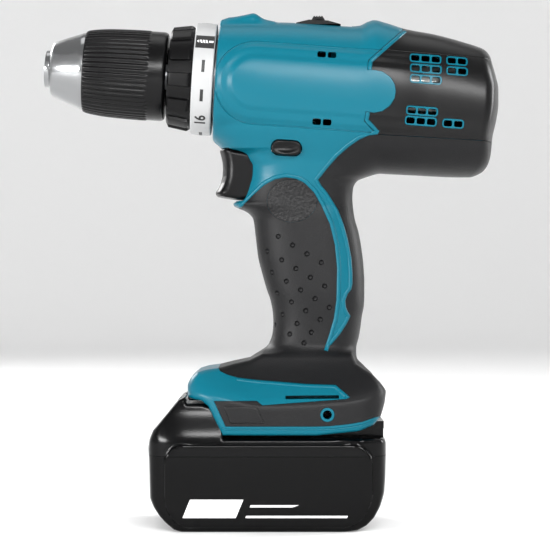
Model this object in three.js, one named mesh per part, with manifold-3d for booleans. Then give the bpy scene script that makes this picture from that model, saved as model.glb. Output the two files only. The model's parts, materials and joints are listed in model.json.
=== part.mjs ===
// A cordless drill driver, in millimetres, +Z up, chuck towards -X, left side towards -Y.
// The design frame has z = 0 near the battery's underside; the last lines shift the whole
// group so that the origin is the bottom centre of its bounding box.
//
// Everything that turns on the drill's own axis is drawn in the drive frame: local Y runs
// from the housing's front face towards the chuck's nose, and local Z points up.
import * as THREE from 'three';
import { mergeVertices } from 'three/addons/utils/BufferGeometryUtils.js';
import Module from 'manifold-3d';

const wasm = await Module();
wasm.setup();

// ---- driving dimensions --------------------------------------------------------------

const GAP = 0.3;                       // clearance between touching pieces
const SPLIT = GAP / 2;                 // half of the gap on the housing's centre plane
const AXIS_X = -28;                    // where the drive axis leaves the housing
const AXIS_Z = 211.4;
const NOSE_RISE = 0.067;               // the axis climbs by this much per millimetre
const SKIN = 1.5;                      // thickness of the overmoulded covers and grips
const SHELL_INSET = 3.8;               // outer surface to cavity
const FAR = 200;                       // long enough to cut right through the drill

const GEAR_MODULE = 0.9;
const SUN_TEETH = 15;
const PLANET_TEETH = 12;
const RING_TEETH = SUN_TEETH + 2 * PLANET_TEETH;
const PLANETS = 3;
const SUN_PITCH = GEAR_MODULE * SUN_TEETH / 2;
const PLANET_PITCH = GEAR_MODULE * PLANET_TEETH / 2;
const RING_PITCH = GEAR_MODULE * RING_TEETH / 2;
const PLANET_ORBIT = SUN_PITCH + PLANET_PITCH;
const RING_OUTER = 20.6;
const CARRIER_RADIUS = 15.9;
const PIN_RADIUS = 1.9;

// stations along the drive axis, positive towards the nose
const DIAL = { back: 0.8, front: 10.6, radius: 26.6, bore: 20.4 };
const TORQUE = { back: 10.9, front: 22.3, backRadius: 25, frontRadius: 23.3, eye: 14 };
const CHUCK = { back: 24.8, sleeveEnd: 63.3, coneEnd: 77.2, nose: 81.2 };
const CHUCK_RADIUS = { sleeve: 21.1, rim: 18.5, cone: 13, nose: 8.8, core: 18.2, bit: 7 };
const NUT = { back: 47, front: 55, outer: 18.5 };
const JAW = { radius: 3, length: 28, tip: 68, tipOrbit: 7.6, slope: 13, travel: 24, halfGap: 1.2 };
const STAGES = {
  rear: { back: -34.5, front: -28.5, ring: [-35, -28.2] },
  middle: { back: -22, front: -16.5, ring: [-22.5, -15] },
  front: { back: -12.5, front: -6.3, ring: [-13, -6] },
};
const MOTOR = { plate: -38.8, canFront: -57, canBack: -112, canRadius: 18.5, shaft: 2.5, end: -129 };

// silhouette stations: [x, bottom, top, half width] along the barrel
const BARREL = [
  [-33, 184.8, 238.4, 26.6], [-22, 182, 240.3, 27.6], [-10, 177, 242.4, 28.6], [-3, 174, 238.8, 29],
  [36, 168, 236.8, 30.5], [46, 167, 239.6, 30.8], [62, 166.4, 235.4, 30.5], [90, 165.3, 229, 28],
  [97, 167, 225.5, 25.5], [103, 178, 218, 18], [106, 195, 207, 6],
];
// silhouette stations: [z, front, back, half width] up the handle
const HANDLE = [
  [72, -16, 45, 22], [80.8, -8, 37.9, 17.4], [91, -1.2, 40.1, 17.3], [112, -4, 42.5, 18.3],
  [137, -9.2, 40.2, 18.2], [146, -11, 37.8, 18], [150.5, -17, 37.2, 18], [154, -18, 37, 18.2],
  [160, -12, 37.6, 18.5], [170, -10, 48, 20], [176.6, -13, 52, 21.2], [178.4, -25, 55, 22],
  [186, -29, 60, 23],
];
const FOOT = { left: -40.8, right: 51.8, bottom: 44.7, top: 77, halfWidth: 38.5, corner: 15 };
const RAIL = { stem: 19.2, flange: 23.4, low: 43.8, lip: 47, top: 50.8, left: -23, right: 50.6 };
const BATTERY = { left: -59.6, right: 52.3, bottom: 0.6, parting: 35.1, shoulder: 43.5, halfWidth: 37.5 };
const CELL = { radius: 9.15, pitch: 18.5, length: 65, columns: 5, rows: 2 };

const TRIGGER = { halfWidth: 11.2, travel: 7 };
const LAMP = { x: -24.6, z: 183, lean: 62 };
const DIRECTION = { x: 5.2, z: 178.9, halfLength: 7, halfHeight: 3.6, halfSpan: 24.4 };
const SPEED = { left: 10, right: 31, halfWidth: 8.5, travel: 5 };
const SCREWS = [[22, 180], [90, 174.5], [40, 230], [6, 112], [30, 152]];

// ---- materials -----------------------------------------------------------------------

const FINISH = {
  teal: { color: 0x1f87a3, roughness: 0.38, metalness: 0 },
  black: { color: 0x1c1c1e, roughness: 0.55, metalness: 0 },
  rubber: { color: 0x262627, roughness: 0.85, metalness: 0 },
  pale: { color: 0xd9dbdc, roughness: 0.4, metalness: 0.2 },
  steel: { color: 0xb9bcc0, roughness: 0.3, metalness: 1 },
  darkSteel: { color: 0x6d7176, roughness: 0.45, metalness: 1 },
  copper: { color: 0xb06a3c, roughness: 0.4, metalness: 1 },
  brass: { color: 0xb9964a, roughness: 0.35, metalness: 1 },
  alloy: { color: 0x9a9da1, roughness: 0.5, metalness: 0.9 },
  cell: { color: 0x4f7f57, roughness: 0.5, metalness: 0 },
  lens: { color: 0xf2f4f5, roughness: 0.1, metalness: 0 },
};

// ---- solids --------------------------------------------------------------------------

function solidOf(geometry) {
  const bare = geometry.clone();
  bare.deleteAttribute('normal');
  bare.deleteAttribute('uv');
  const merged = mergeVertices(bare, 1e-4);
  const index = merged.index.array;
  const kept = [];
  for (let i = 0; i < index.length; i += 3) {
    const [a, b, c] = [index[i], index[i + 1], index[i + 2]];
    if (a !== b && b !== c && c !== a) kept.push(a, b, c);
  }
  const place = merged.attributes.position;
  if (signedVolume(place, kept) < 0) kept.reverse();
  const vertProperties = new Float32Array(place.array);
  return new wasm.Manifold(new wasm.Mesh({ numProp: 3, vertProperties, triVerts: new Uint32Array(kept) }));
}

function signedVolume(place, index) {
  const [a, b, c] = [new THREE.Vector3(), new THREE.Vector3(), new THREE.Vector3()];
  let sum = 0;
  for (let i = 0; i < index.length; i += 3) {
    a.fromBufferAttribute(place, index[i]);
    b.fromBufferAttribute(place, index[i + 1]);
    c.fromBufferAttribute(place, index[i + 2]);
    sum += a.dot(b.cross(c));
  }
  return sum;
}

function geometryOf(solid) {
  const mesh = solid.getMesh();
  const geometry = new THREE.BufferGeometry();
  geometry.setAttribute('position', new THREE.BufferAttribute(new Float32Array(mesh.vertProperties), 3));
  geometry.setIndex([...mesh.triVerts]);
  return geometry;
}

const moved = (solid, x, y, z) => solid.translate([x, y, z]);

function placed(solid, matrix) {
  return solid.transform(matrix.elements);
}

function joined(first, ...rest) {
  return rest.reduce((sum, next) => sum.add(next), first);
}

function cutBy(first, ...rest) {
  return rest.reduce((left, next) => left.subtract(next), first);
}

function block(x0, x1, y0, y1, z0, z1) {
  const box = new THREE.BoxGeometry(x1 - x0, y1 - y0, z1 - z0);
  box.translate((x0 + x1) / 2, (y0 + y1) / 2, (z0 + z1) / 2);
  return solidOf(box);
}

// ---- outlines and prisms -------------------------------------------------------------

const outline = (points) => new THREE.Shape(points.map(([x, y]) => new THREE.Vector2(x, y)));

function roundedRectangle(x0, x1, y0, y1, radius) {
  const shape = new THREE.Shape();
  shape.moveTo(x0 + radius, y0);
  shape.lineTo(x1 - radius, y0);
  shape.absarc(x1 - radius, y0 + radius, radius, -Math.PI / 2, 0);
  shape.lineTo(x1, y1 - radius);
  shape.absarc(x1 - radius, y1 - radius, radius, 0, Math.PI / 2);
  shape.lineTo(x0 + radius, y1);
  shape.absarc(x0 + radius, y1 - radius, radius, Math.PI / 2, Math.PI);
  shape.lineTo(x0, y0 + radius);
  shape.absarc(x0 + radius, y0 + radius, radius, Math.PI, 1.5 * Math.PI);
  return shape;
}

function extruded(shape, depth, curveSegments = 4) {
  return new THREE.ExtrudeGeometry(shape, { depth, bevelEnabled: false, curveSegments, steps: 1 });
}

// an outline in x and z, carried across the drill from y0 to y1
function sidePrism(shape, y0, y1, curveSegments) {
  const geometry = extruded(shape, y1 - y0, curveSegments);
  geometry.rotateX(Math.PI / 2);
  geometry.translate(0, y1, 0);
  return solidOf(geometry);
}

// an outline in x and y, carried up from z0 to z1
function planPrism(shape, z0, z1, curveSegments) {
  const geometry = extruded(shape, z1 - z0, curveSegments);
  geometry.translate(0, 0, z0);
  return solidOf(geometry);
}

// an outline in the plane across the drive axis, carried along it
function axialPrism(shape, back, front, curveSegments) {
  const geometry = extruded(shape, front - back, curveSegments);
  geometry.rotateX(-Math.PI / 2);
  geometry.translate(0, back, 0);
  return solidOf(geometry);
}

// a closed profile of [radius, height] turned about local Y
function turned(profile, segments = 32) {
  const points = [...profile, profile[0]].map(([r, y]) => new THREE.Vector2(r, y));
  return solidOf(new THREE.LatheGeometry(points, segments));
}

function rod(radius, back, front, segments = 24) {
  const geometry = new THREE.CylinderGeometry(radius, radius, front - back, segments);
  geometry.translate(0, (back + front) / 2, 0);
  return solidOf(geometry);
}

const tube = (inner, outer, back, front, segments) =>
  turned([[inner, back], [outer, back], [outer, front], [inner, front]], segments);

function rodAcross(radius, x, z, y0, y1, segments = 16) {
  return moved(rod(radius, y0, y1, segments), x, 0, z);
}

// a coil of wire about local Y
function coil(radius, wire, back, front, turns) {
  class Helix extends THREE.Curve {
    getPoint(t, target = new THREE.Vector3()) {
      const angle = 2 * Math.PI * turns * t;
      const height = back + wire + (front - back - 2 * wire) * t;
      return target.set(radius * Math.cos(angle), height, radius * Math.sin(angle));
    }
  }
  const section = new THREE.Shape();
  section.absarc(0, 0, wire, 0, 2 * Math.PI);
  const steps = Math.round(turns * 7);
  const options = { steps, bevelEnabled: false, extrudePath: new Helix(), curveSegments: 3 };
  return solidOf(new THREE.ExtrudeGeometry(section, options));
}

// ---- the drive frame -----------------------------------------------------------------

const TILT = Math.atan(NOSE_RISE);
const NOSEWARD = new THREE.Vector3(-Math.cos(TILT), 0, Math.sin(TILT));
const driveMatrix = new THREE.Matrix4().makeBasis(
  new THREE.Vector3(0, 1, 0), NOSEWARD, new THREE.Vector3(Math.sin(TILT), 0, Math.cos(TILT)));
driveMatrix.setPosition(AXIS_X, 0, AXIS_Z);

const inDrive = (solid) => placed(solid, driveMatrix);

// ---- body forms ----------------------------------------------------------------------

const SIDES = 12;

// a closed tube of superellipse sections: CylinderGeometry with each row laid on a station
function loft(rows, sides, placePoint) {
  const geometry = new THREE.CylinderGeometry(1, 1, 1, sides, rows.length - 1);
  const place = geometry.attributes.position;
  const point = new THREE.Vector3();
  for (let i = 0; i < place.count; i += 1) {
    point.fromBufferAttribute(place, i);
    const row = rows[Math.round((0.5 - point.y) * (rows.length - 1))];
    placePoint(row, point.x, point.z, point);
    place.setXYZ(i, point.x, point.y, point.z);
  }
  return solidOf(geometry);
}

const squarer = (value, power) => Math.sign(value) * Math.abs(value) ** (2 / power);

function barrelForm(inset) {
  const rows = BARREL.filter(([, bottom, top]) => top - bottom > 4 * inset);
  const last = rows.length - 1;
  return loft(rows, SIDES, (row, c, s, point) => {
    const [x, bottom, top, halfWidth] = row;
    const end = row === rows[last] ? inset / 2 : 0;
    const halfHeight = (top - bottom) / 2 - inset;
    const y = (halfWidth - inset) * squarer(c, 2.3);
    point.set(x - end, y, (top + bottom) / 2 + halfHeight * squarer(s, 2.3));
  });
}

function handleForm(inset, sides = SIDES) {
  return loft(HANDLE, sides, (row, c, s, point) => {
    const [z, front, back, halfWidth] = row;
    const halfLength = (back - front) / 2 - inset;
    const y = (halfWidth - inset) * squarer(c, 2.6);
    point.set((front + back) / 2 + halfLength * squarer(s, 2.6), y, z);
  });
}

function footForm(inset) {
  const side = outline([
    [-24.1, FOOT.bottom + inset], [19.3, FOOT.bottom + inset], [38.6, 47.1 + inset],
    [46.8 - inset, 53.4 + inset],
    [50.6 - inset, 58], [FOOT.right - inset, 66.9 - inset], [44, 75.5 - inset], [30, FOOT.top - inset],
    [-25, FOOT.top - inset], [-35.7, 75.9 - inset], [FOOT.left + inset, 70.7 - inset],
    [FOOT.left + inset, 62.1 + inset], [-38.6 + inset, 61.4 + inset], [-33.8, 60.6 + inset],
    [-30.6, 58 + inset],
  ]);
  const halfWidth = FOOT.halfWidth - inset;
  const plan = roundedRectangle(
    FOOT.left + inset, FOOT.right - inset, -halfWidth, halfWidth, FOOT.corner - inset);
  const upright = sidePrism(side, -halfWidth, halfWidth);
  return upright.intersect(planPrism(plan, 0, 100));
}

function bodyForm(inset) {
  const whole = joined(barrelForm(inset), handleForm(inset), footForm(inset));
  const aheadOfFace = inDrive(rod(FAR / 4, -inset, FAR));
  const belowFace = block(-FAR, AXIS_X - 2.2 + inset, -FAR, FAR, 150, FAR);
  return cutBy(whole, aheadOfFace, belowFace);
}

const outerForm = bodyForm(0);
const skinForm = outerForm.subtract(bodyForm(SKIN));
const underSkin = bodyForm(SKIN + GAP);

// ---- covers and grips ----------------------------------------------------------------

// the rear cover's edge: down the sloping side line, around the bulge and back along the groove
const COVER_EDGE = [
  [62, 250], [62, 236], [44.8, 220], [44.8, 216.5], [54, 214], [57, 206.5], [54, 198.4], [42.4, 194.4],
  [42, 190.5], [46, 185.2], [120, 180.2], [120, 250],
];
// the grip's edge: over the palm, round the blue strip, below the motor and over the foot
const GRIP_EDGE = [
  [-30, 150.2], [-16, 150.2], [-10, 156.5], [-3, 161.8], [5, 164.2], [14, 161.4], [22, 151], [28.3, 132],
  [28.6, 107], [23, 84], [30, 91.5], [34.5, 100], [36.3, 120], [32.6, 141.5], [22, 162.5], [30, 174.4],
  [45.5, 184.6], [120, 179.6], [120, 150], [60, 150], [52, 69], [34.6, 62.6], [28.4, 67.2], [0, 69.4],
  [-17.6, 71], [-29, 76],
];

// an outline drawn in by a distance, corner by corner
function drawnIn(points, distance) {
  const shape = points.map(([x, y]) => new THREE.Vector2(x, y));
  const inward = Math.sign(THREE.ShapeUtils.area(shape));
  return shape.map((point, i) => {
    const before = point.clone().sub(shape.at(i - 1)).normalize();
    const after = shape[(i + 1) % shape.length].clone().sub(point).normalize();
    const along = before.clone().add(after).normalize();
    const reach = distance * inward / Math.max(along.dot(after), 0.5);
    return [point.x - along.y * reach, point.y + along.x * reach];
  });
}

// the side's share of a skin inside an edge, clear of the shell all round
function overmould(edge, side) {
  const [y0, y1] = side < 0 ? [-FAR, -SPLIT] : [SPLIT, FAR];
  return skinForm.intersect(sidePrism(outline(drawnIn(edge, GAP)), y0, y1));
}

function overmouldSeat(edge) {
  return sidePrism(outline(edge), -FAR, FAR).subtract(underSkin);
}

// [left, right, bottom, rows] of each stack of slots at the motor's end
const REAR_VENTS = [[64, 79, 209.5, 3], [81.5, 91, 213.5, 2], [62.5, 77, 190.6, 2], [79.5, 89, 189.4, 1]];
const SIDE_VENTS = [[21, 28.2, 222, 1], [18.6, 25.8, 190.6, 1]];
const VENT = { height: 2.9, step: 4.9 };

function ventCutters(stacks) {
  const slots = stacks.flatMap(([left, right, bottom, rows]) => Array.from({ length: rows }, (_, row) => {
    const z = bottom + row * VENT.step;
    return block(left, right, -FAR, FAR, z, z + VENT.height);
  }));
  return joined(...slots);
}

// ---- housing shells ------------------------------------------------------------------

function triggerOutline(grow) {
  return outline([
    [-25 - grow, 178.3 + grow], [-14, 176.6 + grow], [-8.5, 174.5 + grow], [-2.2 + grow, 174.2 + grow],
    [-2.2 + grow, 157 - grow],
    [-14, 154.1 - grow], [-26.5 - grow, 155.6 - grow], [-28.2 - grow, 157.5], [-25.6 - grow, 161],
    [-24.5 - grow, 168], [-24.8 - grow, 174],
  ]);
}

function triggerPassage() {
  const { halfWidth, travel } = TRIGGER;
  const rest = sidePrism(triggerOutline(0.5), -halfWidth - 0.5, halfWidth + 0.5);
  const stops = [0, 0.2, 0.4, 0.6, 0.8, 1].map((share) => moved(rest, share * (travel + 0.4), 0, 0));
  return joined(...stops);
}

function railChannel() {
  const { stem, flange, lip, top } = RAIL;
  const wide = block(-FAR, FAR, -flange - 0.5, flange + 0.5, lip, top + 0.6);
  const narrow = block(-FAR, FAR, -stem - 0.5, stem + 0.5, 0, lip + 1);
  const frontBay = sidePrism(outline([
    [-60, 40], [-22.6, 40], [-22.6, 44.4], [-22.6, 60], [-60, 60],
  ]), -33, 33);
  return joined(wide, narrow, frontBay);
}

function footCavity() {
  const plan = roundedRectangle(-36, 45, -34.5, 34.5, 10);
  const side = outline([
    [-36, 64.5], [-28, 63], [-24, 54.2], [42, 54.2], [46, 62], [44, 70], [28, 72.8], [-30, 72.8],
  ]);
  return sidePrism(side, -34.5, 34.5).intersect(planPrism(plan, 40, 90));
}

const BOSS_RADIUS = 3.4;
const CASE_SEAT = 23.4;
const SCREW = { shank: 1.4, head: 2.8, headDepth: 2.2 };

function bossesIn(form) {
  const posts = SCREWS.map(([x, z]) => rodAcross(BOSS_RADIUS, x, z, -FAR / 4, FAR / 4, 8));
  return joined(...posts).intersect(form);
}

function screwHoles() {
  const shanks = SCREWS.map(([x, z]) => rodAcross(SCREW.shank + 0.4, x, z, -8, FAR, 8));
  const heads = SCREWS.map(([x, z]) => rodAcross(SCREW.head + 0.4, x, z, screwSeat(x, z), FAR, 10));
  return joined(...shanks, ...heads);
}

// how far out the underside of a screw's head stands
const screwSeat = (x, z) => (z > 160 ? 17 : 11);

// room round the gears, the motor and its tail, and under them for the switch and wires
function cavity() {
  const round = inDrive(turned([
    [0, MOTOR.end - 2], [13, MOTOR.end - 2], [20, MOTOR.end + 12], [24.3, MOTOR.end + 27], [24.3, -41],
    [CASE_SEAT, -41], [CASE_SEAT, -1.5], [0, -1.5],
  ], 28));
  const under = outline([[-8, 176.5], [30, 172], [80, 171], [86, 177], [86, 195], [-8, 195]]);
  const grip = handleForm(SHELL_INSET, 12).intersect(block(-FAR, FAR, -FAR, FAR, 70, 180));
  return joined(round, sidePrism(under, -14, 14), grip, footCavity());
}

function housingShell() {
  const walls = cutBy(outerForm, cavity(), railChannel()).add(bossesIn(underSkin));
  const frontEye = inDrive(rod(18.4, -30, 10));
  const directionSlot = sidePrism(directionOutline(0.4), -FAR, FAR);
  const vents = ventCutters([...REAR_VENTS, ...SIDE_VENTS]);
  const { left, right, halfWidth, travel } = SPEED;
  const speedSlot = block(left - 0.6, right + travel + 0.6, -halfWidth - 0.6, halfWidth + 0.6, 226, 260);
  const armWay = block(-10.6, right, -3.7, 3.7, 226, 236.4);
  const terminalWindow = block(3.4, 34.6, -16.5, 16.5, 50, 58);
  const latchCatch = block(-37.6, -27.4, -8.4, 8.4, 55, 64.4);
  const hookHole = rodAcross(1.9, 24.2, 54.4, -FAR, FAR, 12);
  return cutBy(
    walls, overmouldSeat(COVER_EDGE), overmouldSeat(GRIP_EDGE), vents, frontEye, triggerPassage(),
    directionSlot, speedSlot, armWay, terminalWindow, latchCatch, screwHoles(), hookHole, ledRod(2.7, 9));
}

function half(solid, side) {
  const [y0, y1] = side < 0 ? [-FAR, -SPLIT] : [SPLIT, FAR];
  return solid.intersect(block(-FAR, FAR, y0, y1, -FAR, 2 * FAR));
}

// a rod square to the slanting chin below the torque dial
function ledRod(radius, length) {
  const geometry = new THREE.CylinderGeometry(radius, radius, length, 16);
  geometry.rotateX(Math.PI / 2);
  geometry.rotateY(THREE.MathUtils.degToRad(LAMP.lean));
  return moved(solidOf(geometry), LAMP.x, 0, LAMP.z);
}

// ---- gears ---------------------------------------------------------------------------

const FLANK_SLOPE = Math.tan(THREE.MathUtils.degToRad(20));
const TOOTH_THICKNESS = Math.PI * GEAR_MODULE / 2 - 0.32;
const ADDENDUM = 0.8 * GEAR_MODULE;
const DEDENDUM = 1.12 * GEAR_MODULE;

// an outline with one straight-sided tooth centred on angle 0; inward teeth for a ring gear
function toothPath(path, teeth, inward) {
  const pitch = GEAR_MODULE * teeth / 2;
  const sign = inward ? -1 : 1;
  const tip = { radius: pitch + sign * ADDENDUM, half: TOOTH_THICKNESS / 2 - ADDENDUM * FLANK_SLOPE };
  const root = { radius: pitch - sign * DEDENDUM, half: TOOTH_THICKNESS / 2 + DEDENDUM * FLANK_SLOPE };
  for (let tooth = 0; tooth < teeth; tooth += 1) {
    const centre = 2 * Math.PI * tooth / teeth;
    for (const [end, side] of [[root, -1], [tip, -1], [tip, 1], [root, 1]]) {
      const angle = centre + side * end.half / end.radius;
      const x = end.radius * Math.cos(angle);
      const y = end.radius * Math.sin(angle);
      if (path.curves.length === 0 && tooth === 0 && end === root && side < 0) path.moveTo(x, y);
      else path.lineTo(x, y);
    }
  }
  return path;
}

function gear(teeth, back, front, phase = 0) {
  return axialPrism(toothPath(new THREE.Shape(), teeth, false), back, front).rotate([0, phase, 0]);
}

function planetGear({ back, front }) {
  const halfPitch = 180 / PLANET_TEETH;
  return gear(PLANET_TEETH, back, front, halfPitch).subtract(rod(PIN_RADIUS + 0.4, back - 1, front + 1, 10));
}

function ringGear([back, front]) {
  const shape = new THREE.Shape();
  shape.absarc(0, 0, RING_OUTER, 0, 2 * Math.PI);
  shape.holes.push(toothPath(new THREE.Path(), RING_TEETH, true));
  return axialPrism(shape, back, front, 14);
}

const planetAngle = (k) => 2 * Math.PI * k / PLANETS;

function carrierPins(stage, disc) {
  return Array.from({ length: PLANETS }, (_, k) => {
    const pin = rod(PIN_RADIUS, stage.back, disc, 10);
    return moved(pin, PLANET_ORBIT * Math.cos(planetAngle(k)), 0, -PLANET_ORBIT * Math.sin(planetAngle(k)));
  });
}

// a disc with planet pins behind it and the next stage's sun gear ahead of it
function carrier(stage, next) {
  const disc = rod(CARRIER_RADIUS, stage.front + GAP, stage.front + 2.8, 28);
  return joined(disc, ...carrierPins(stage, stage.front + 1), gear(SUN_TEETH, stage.front + 2, next.front));
}

// ---- drive train ---------------------------------------------------------------------

const SPINDLE = { radius: 6, end: 38, bore: 2.4, boreDepth: 14 };

function spindle() {
  const stage = STAGES.front;
  const disc = rod(CARRIER_RADIUS, stage.front + GAP, stage.front + 3, 28);
  const shaft = rod(SPINDLE.radius, stage.front + 2, SPINDLE.end, 24);
  const thread = rod(SPINDLE.bore, SPINDLE.end - SPINDLE.boreDepth, SPINDLE.end + 1, 12);
  return joined(disc, shaft, ...carrierPins(stage, stage.front + 1)).subtract(thread);
}

function gearCase() {
  const barrel = tube(RING_OUTER + GAP, 23, MOTOR.plate + 3.2, -1.8, 28);
  const wall = tube(9.9, 22, -3, -1.8, 28);
  const nose = tube(9.9, 12.8, -3, 20, 28);
  const register = tube(12, 18, -2.4, 0.5, 28);
  const slot = block(-4.4, 4.4, -25, -16, 15, 30);
  return cutBy(joined(barrel, wall, nose, register), slot);
}

function motorPlate() {
  return tube(MOTOR.shaft + 0.6, 22.6, MOTOR.plate, MOTOR.plate + 2.9, 28);
}

function speedRing() {
  const [back, front] = STAGES.middle.ring;
  const middle = (back + front) / 2;
  return ringGear([back, front]).subtract(tube(19.7, 25, middle - 1.2, middle + 1.2, 28));
}

const spindleBearing = () => tube(SPINDLE.radius + GAP, 9.6, 6, 14, 28);
const rearBearing = () => tube(MOTOR.shaft + GAP, 8, -126.6, -122.6, 24);

// ---- motor ---------------------------------------------------------------------------

function motorCan() {
  const { canFront, canBack, canRadius } = MOTOR;
  return turned([
    [5, canFront], [canRadius, canFront], [canRadius, canBack], [canRadius - 1.6, canBack],
    [canRadius - 1.6, canFront - 1.6], [5, canFront - 1.6],
  ], 24);
}

function armatureCore() {
  const slots = 5;
  const core = tube(MOTOR.shaft + GAP, 15.2, -99, -66, 30);
  const cuts = Array.from({ length: slots }, (_, i) => {
    const slot = block(-1.3, 1.3, -FAR, FAR, 10.5, 18);
    return slot.rotate([0, 360 * i / slots, 0]);
  });
  return cutBy(core, ...cuts);
}

function commutator() {
  return tube(MOTOR.shaft + GAP, 6.2, -113.5, -104, 20);
}

function coolingFan() {
  const blades = 7;
  const hub = tube(MOTOR.shaft + GAP, 6, -53.6, -47, 24);
  const disc = tube(5, 16.8, -48.4, -47, 32);
  const fins = Array.from({ length: blades }, (_, i) => {
    const fin = block(-0.6, 0.6, -53.6, -48, 5.2, 16.4);
    return fin.rotate([0, 360 * i / blades, 0]);
  });
  return joined(hub, disc, ...fins);
}

function brushCap() {
  const cap = turned([
    [8.4, -121.8], [16, -121.8], [17.6, -118], [17.6, -112.6], [15.8, -112.6], [15.8, -117.4],
    [14.6, -119.6], [8.4, -119.6],
  ], 20);
  const holders = [-1, 1].map((side) => block(side > 0 ? 7 : -15, side > 0 ? 15 : -7, -121, -106, -2.6, 2.6));
  return joined(cap, ...holders);
}

// ---- chuck ---------------------------------------------------------------------------

const JAW_TILT = THREE.MathUtils.degToRad(JAW.slope);

// turns a solid drawn along local Y into the line of the first jaw
function alongJaw(solid) {
  const turn = new THREE.Matrix4().makeRotationX(-JAW_TILT).setPosition(0, JAW.tip, JAW.tipOrbit);
  return placed(solid, turn);
}

const jawTravel = (distance) => [0, distance * Math.cos(JAW_TILT), -distance * Math.sin(JAW_TILT)];

function jaw() {
  const bar = alongJaw(rod(JAW.radius, -JAW.length, 0, 10));
  const reach = 20;
  const spread = (reach - JAW.halfGap) * Math.tan(Math.PI / 3);
  const start = JAW.halfGap * Math.tan(Math.PI / 3) - 0.4;
  const wedge = axialPrism(outline([
    [-start, -JAW.halfGap], [start, -JAW.halfGap], [start + spread, -reach], [-start - spread, -reach],
  ]), -FAR, FAR);
  const closed = bar.translate(jawTravel(JAW.travel)).intersect(wedge);
  return closed.translate(jawTravel(-JAW.travel));
}

const aroundChuck = (solid, k) => solid.rotate([0, 360 * k / 3, 0]);

function chuckBody() {
  const { back, sleeveEnd, coneEnd, nose } = CHUCK;
  const { rim, cone, core, bit } = CHUCK_RADIUS;
  const form = turned([
    [SPINDLE.radius + GAP, back], [core, back], [core, NUT.back - 0.6],
    [13.2, NUT.back - 0.6], [13.2, NUT.front + 0.6], [core, NUT.front + 0.6], [core, sleeveEnd - 0.4],
    [rim, sleeveEnd + 0.4], [cone, coneEnd], [cone - 1.8, coneEnd + 1.2], [CHUCK_RADIUS.nose, coneEnd + 1.6],
    [CHUCK_RADIUS.nose, nose], [bit, nose], [bit, 43.5], [SPINDLE.radius + GAP, 43.5],
  ], 24);
  const bore = alongJaw(rod(JAW.radius + 0.45, -JAW.length - 1, 40, 10));
  return cutBy(form, ...[0, 1, 2].map((k) => aroundChuck(bore, k)));
}

function chuckSleeve() {
  const { back, sleeveEnd } = CHUCK;
  const { sleeve, rim } = CHUCK_RADIUS;
  return turned([
    [19, back], [sleeve - 1.2, back], [sleeve, back + 1.6], [sleeve, back + 9], [20.7, 50],
    [rim + 0.6, sleeveEnd - 0.8], [rim + 0.2, sleeveEnd], [18.9, sleeveEnd - 1.2], [19.2, back + 3],
  ], 28);
}

function jawNut() {
  const slope = Math.tan(JAW_TILT);
  const jawReach = JAW.radius / Math.cos(JAW_TILT) + 0.4;
  const clear = (station) => JAW.tipOrbit + (JAW.tip - station) * slope + jawReach;
  return turned([
    [clear(NUT.back), NUT.back], [NUT.outer, NUT.back], [NUT.outer, NUT.front], [clear(NUT.front), NUT.front],
  ], 28);
}

function chuckScrew() {
  const seat = SPINDLE.end + 0.4;
  return joined(rod(2, SPINDLE.end - 10, seat + 1, 12), rod(4.6, seat, seat + 3, 18));
}

// ---- clutch and torque ring ----------------------------------------------------------

function torqueDial() {
  const { back, front, radius, bore } = DIAL;
  return turned([
    [bore, back], [radius - 0.5, back], [radius, back + 0.6], [radius - 0.2, front - 0.5],
    [radius - 0.7, front], [bore, front],
  ], 32);
}

const TORQUE_RIBS = 12;

function torqueRing() {
  const { back, front, backRadius, frontRadius, eye } = TORQUE;
  const wall = turned([
    [DIAL.bore, back], [backRadius, back], [frontRadius, front - 0.8], [frontRadius - 0.8, front],
    [eye, front], [eye, front - 2.4], [DIAL.bore, front - 2.4],
  ], 36);
  const groove = block(-1.5, 1.5, back + 2, FAR, backRadius - 1.2, backRadius + 4);
  const grooves = Array.from({ length: TORQUE_RIBS }, (_, i) => groove.rotate([0, 360 * i / TORQUE_RIBS, 0]));
  return cutBy(wall, ...grooves);
}

const clutchNut = () => tube(13.2, 19.8, 13.6, 17.4, 32);
const clutchSpring = () => coil(16, 1, 1.2, 13, 4);

// ---- controls ------------------------------------------------------------------------

function trigger() {
  const { halfWidth } = TRIGGER;
  const body = sidePrism(triggerOutline(0), -halfWidth, halfWidth);
  const plan = planPrism(roundedRectangle(-29, 10, -halfWidth, halfWidth, 8), 150, 180);
  const plunger = block(-4, 0.6, -6, 6, 160, 172);
  const pocket = block(-9, 3, -2.8, 2.8, 163, 169);
  return cutBy(body.intersect(plan).add(plunger), pocket);
}

const triggerSpring = () => moved(coil(1.9, 0.4, 0, 15.6, 5).rotate([0, 0, -90]), -8.6, 0, 166);

function switchBody() {
  const body = block(10.2, 28.5, -9, 9, 155.4, 173.4);
  const stop = block(8, 12, -3.4, 3.4, 162, 170);
  return body.add(stop);
}

function directionOutline(grow) {
  const { x, z, halfLength, halfHeight } = DIRECTION;
  return roundedRectangle(x - halfLength - grow, x + halfLength + grow,
    z - halfHeight - grow, z + halfHeight + grow, halfHeight + grow - 0.05);
}

function directionLever() {
  return sidePrism(directionOutline(0), -DIRECTION.halfSpan, DIRECTION.halfSpan, 5);
}

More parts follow.
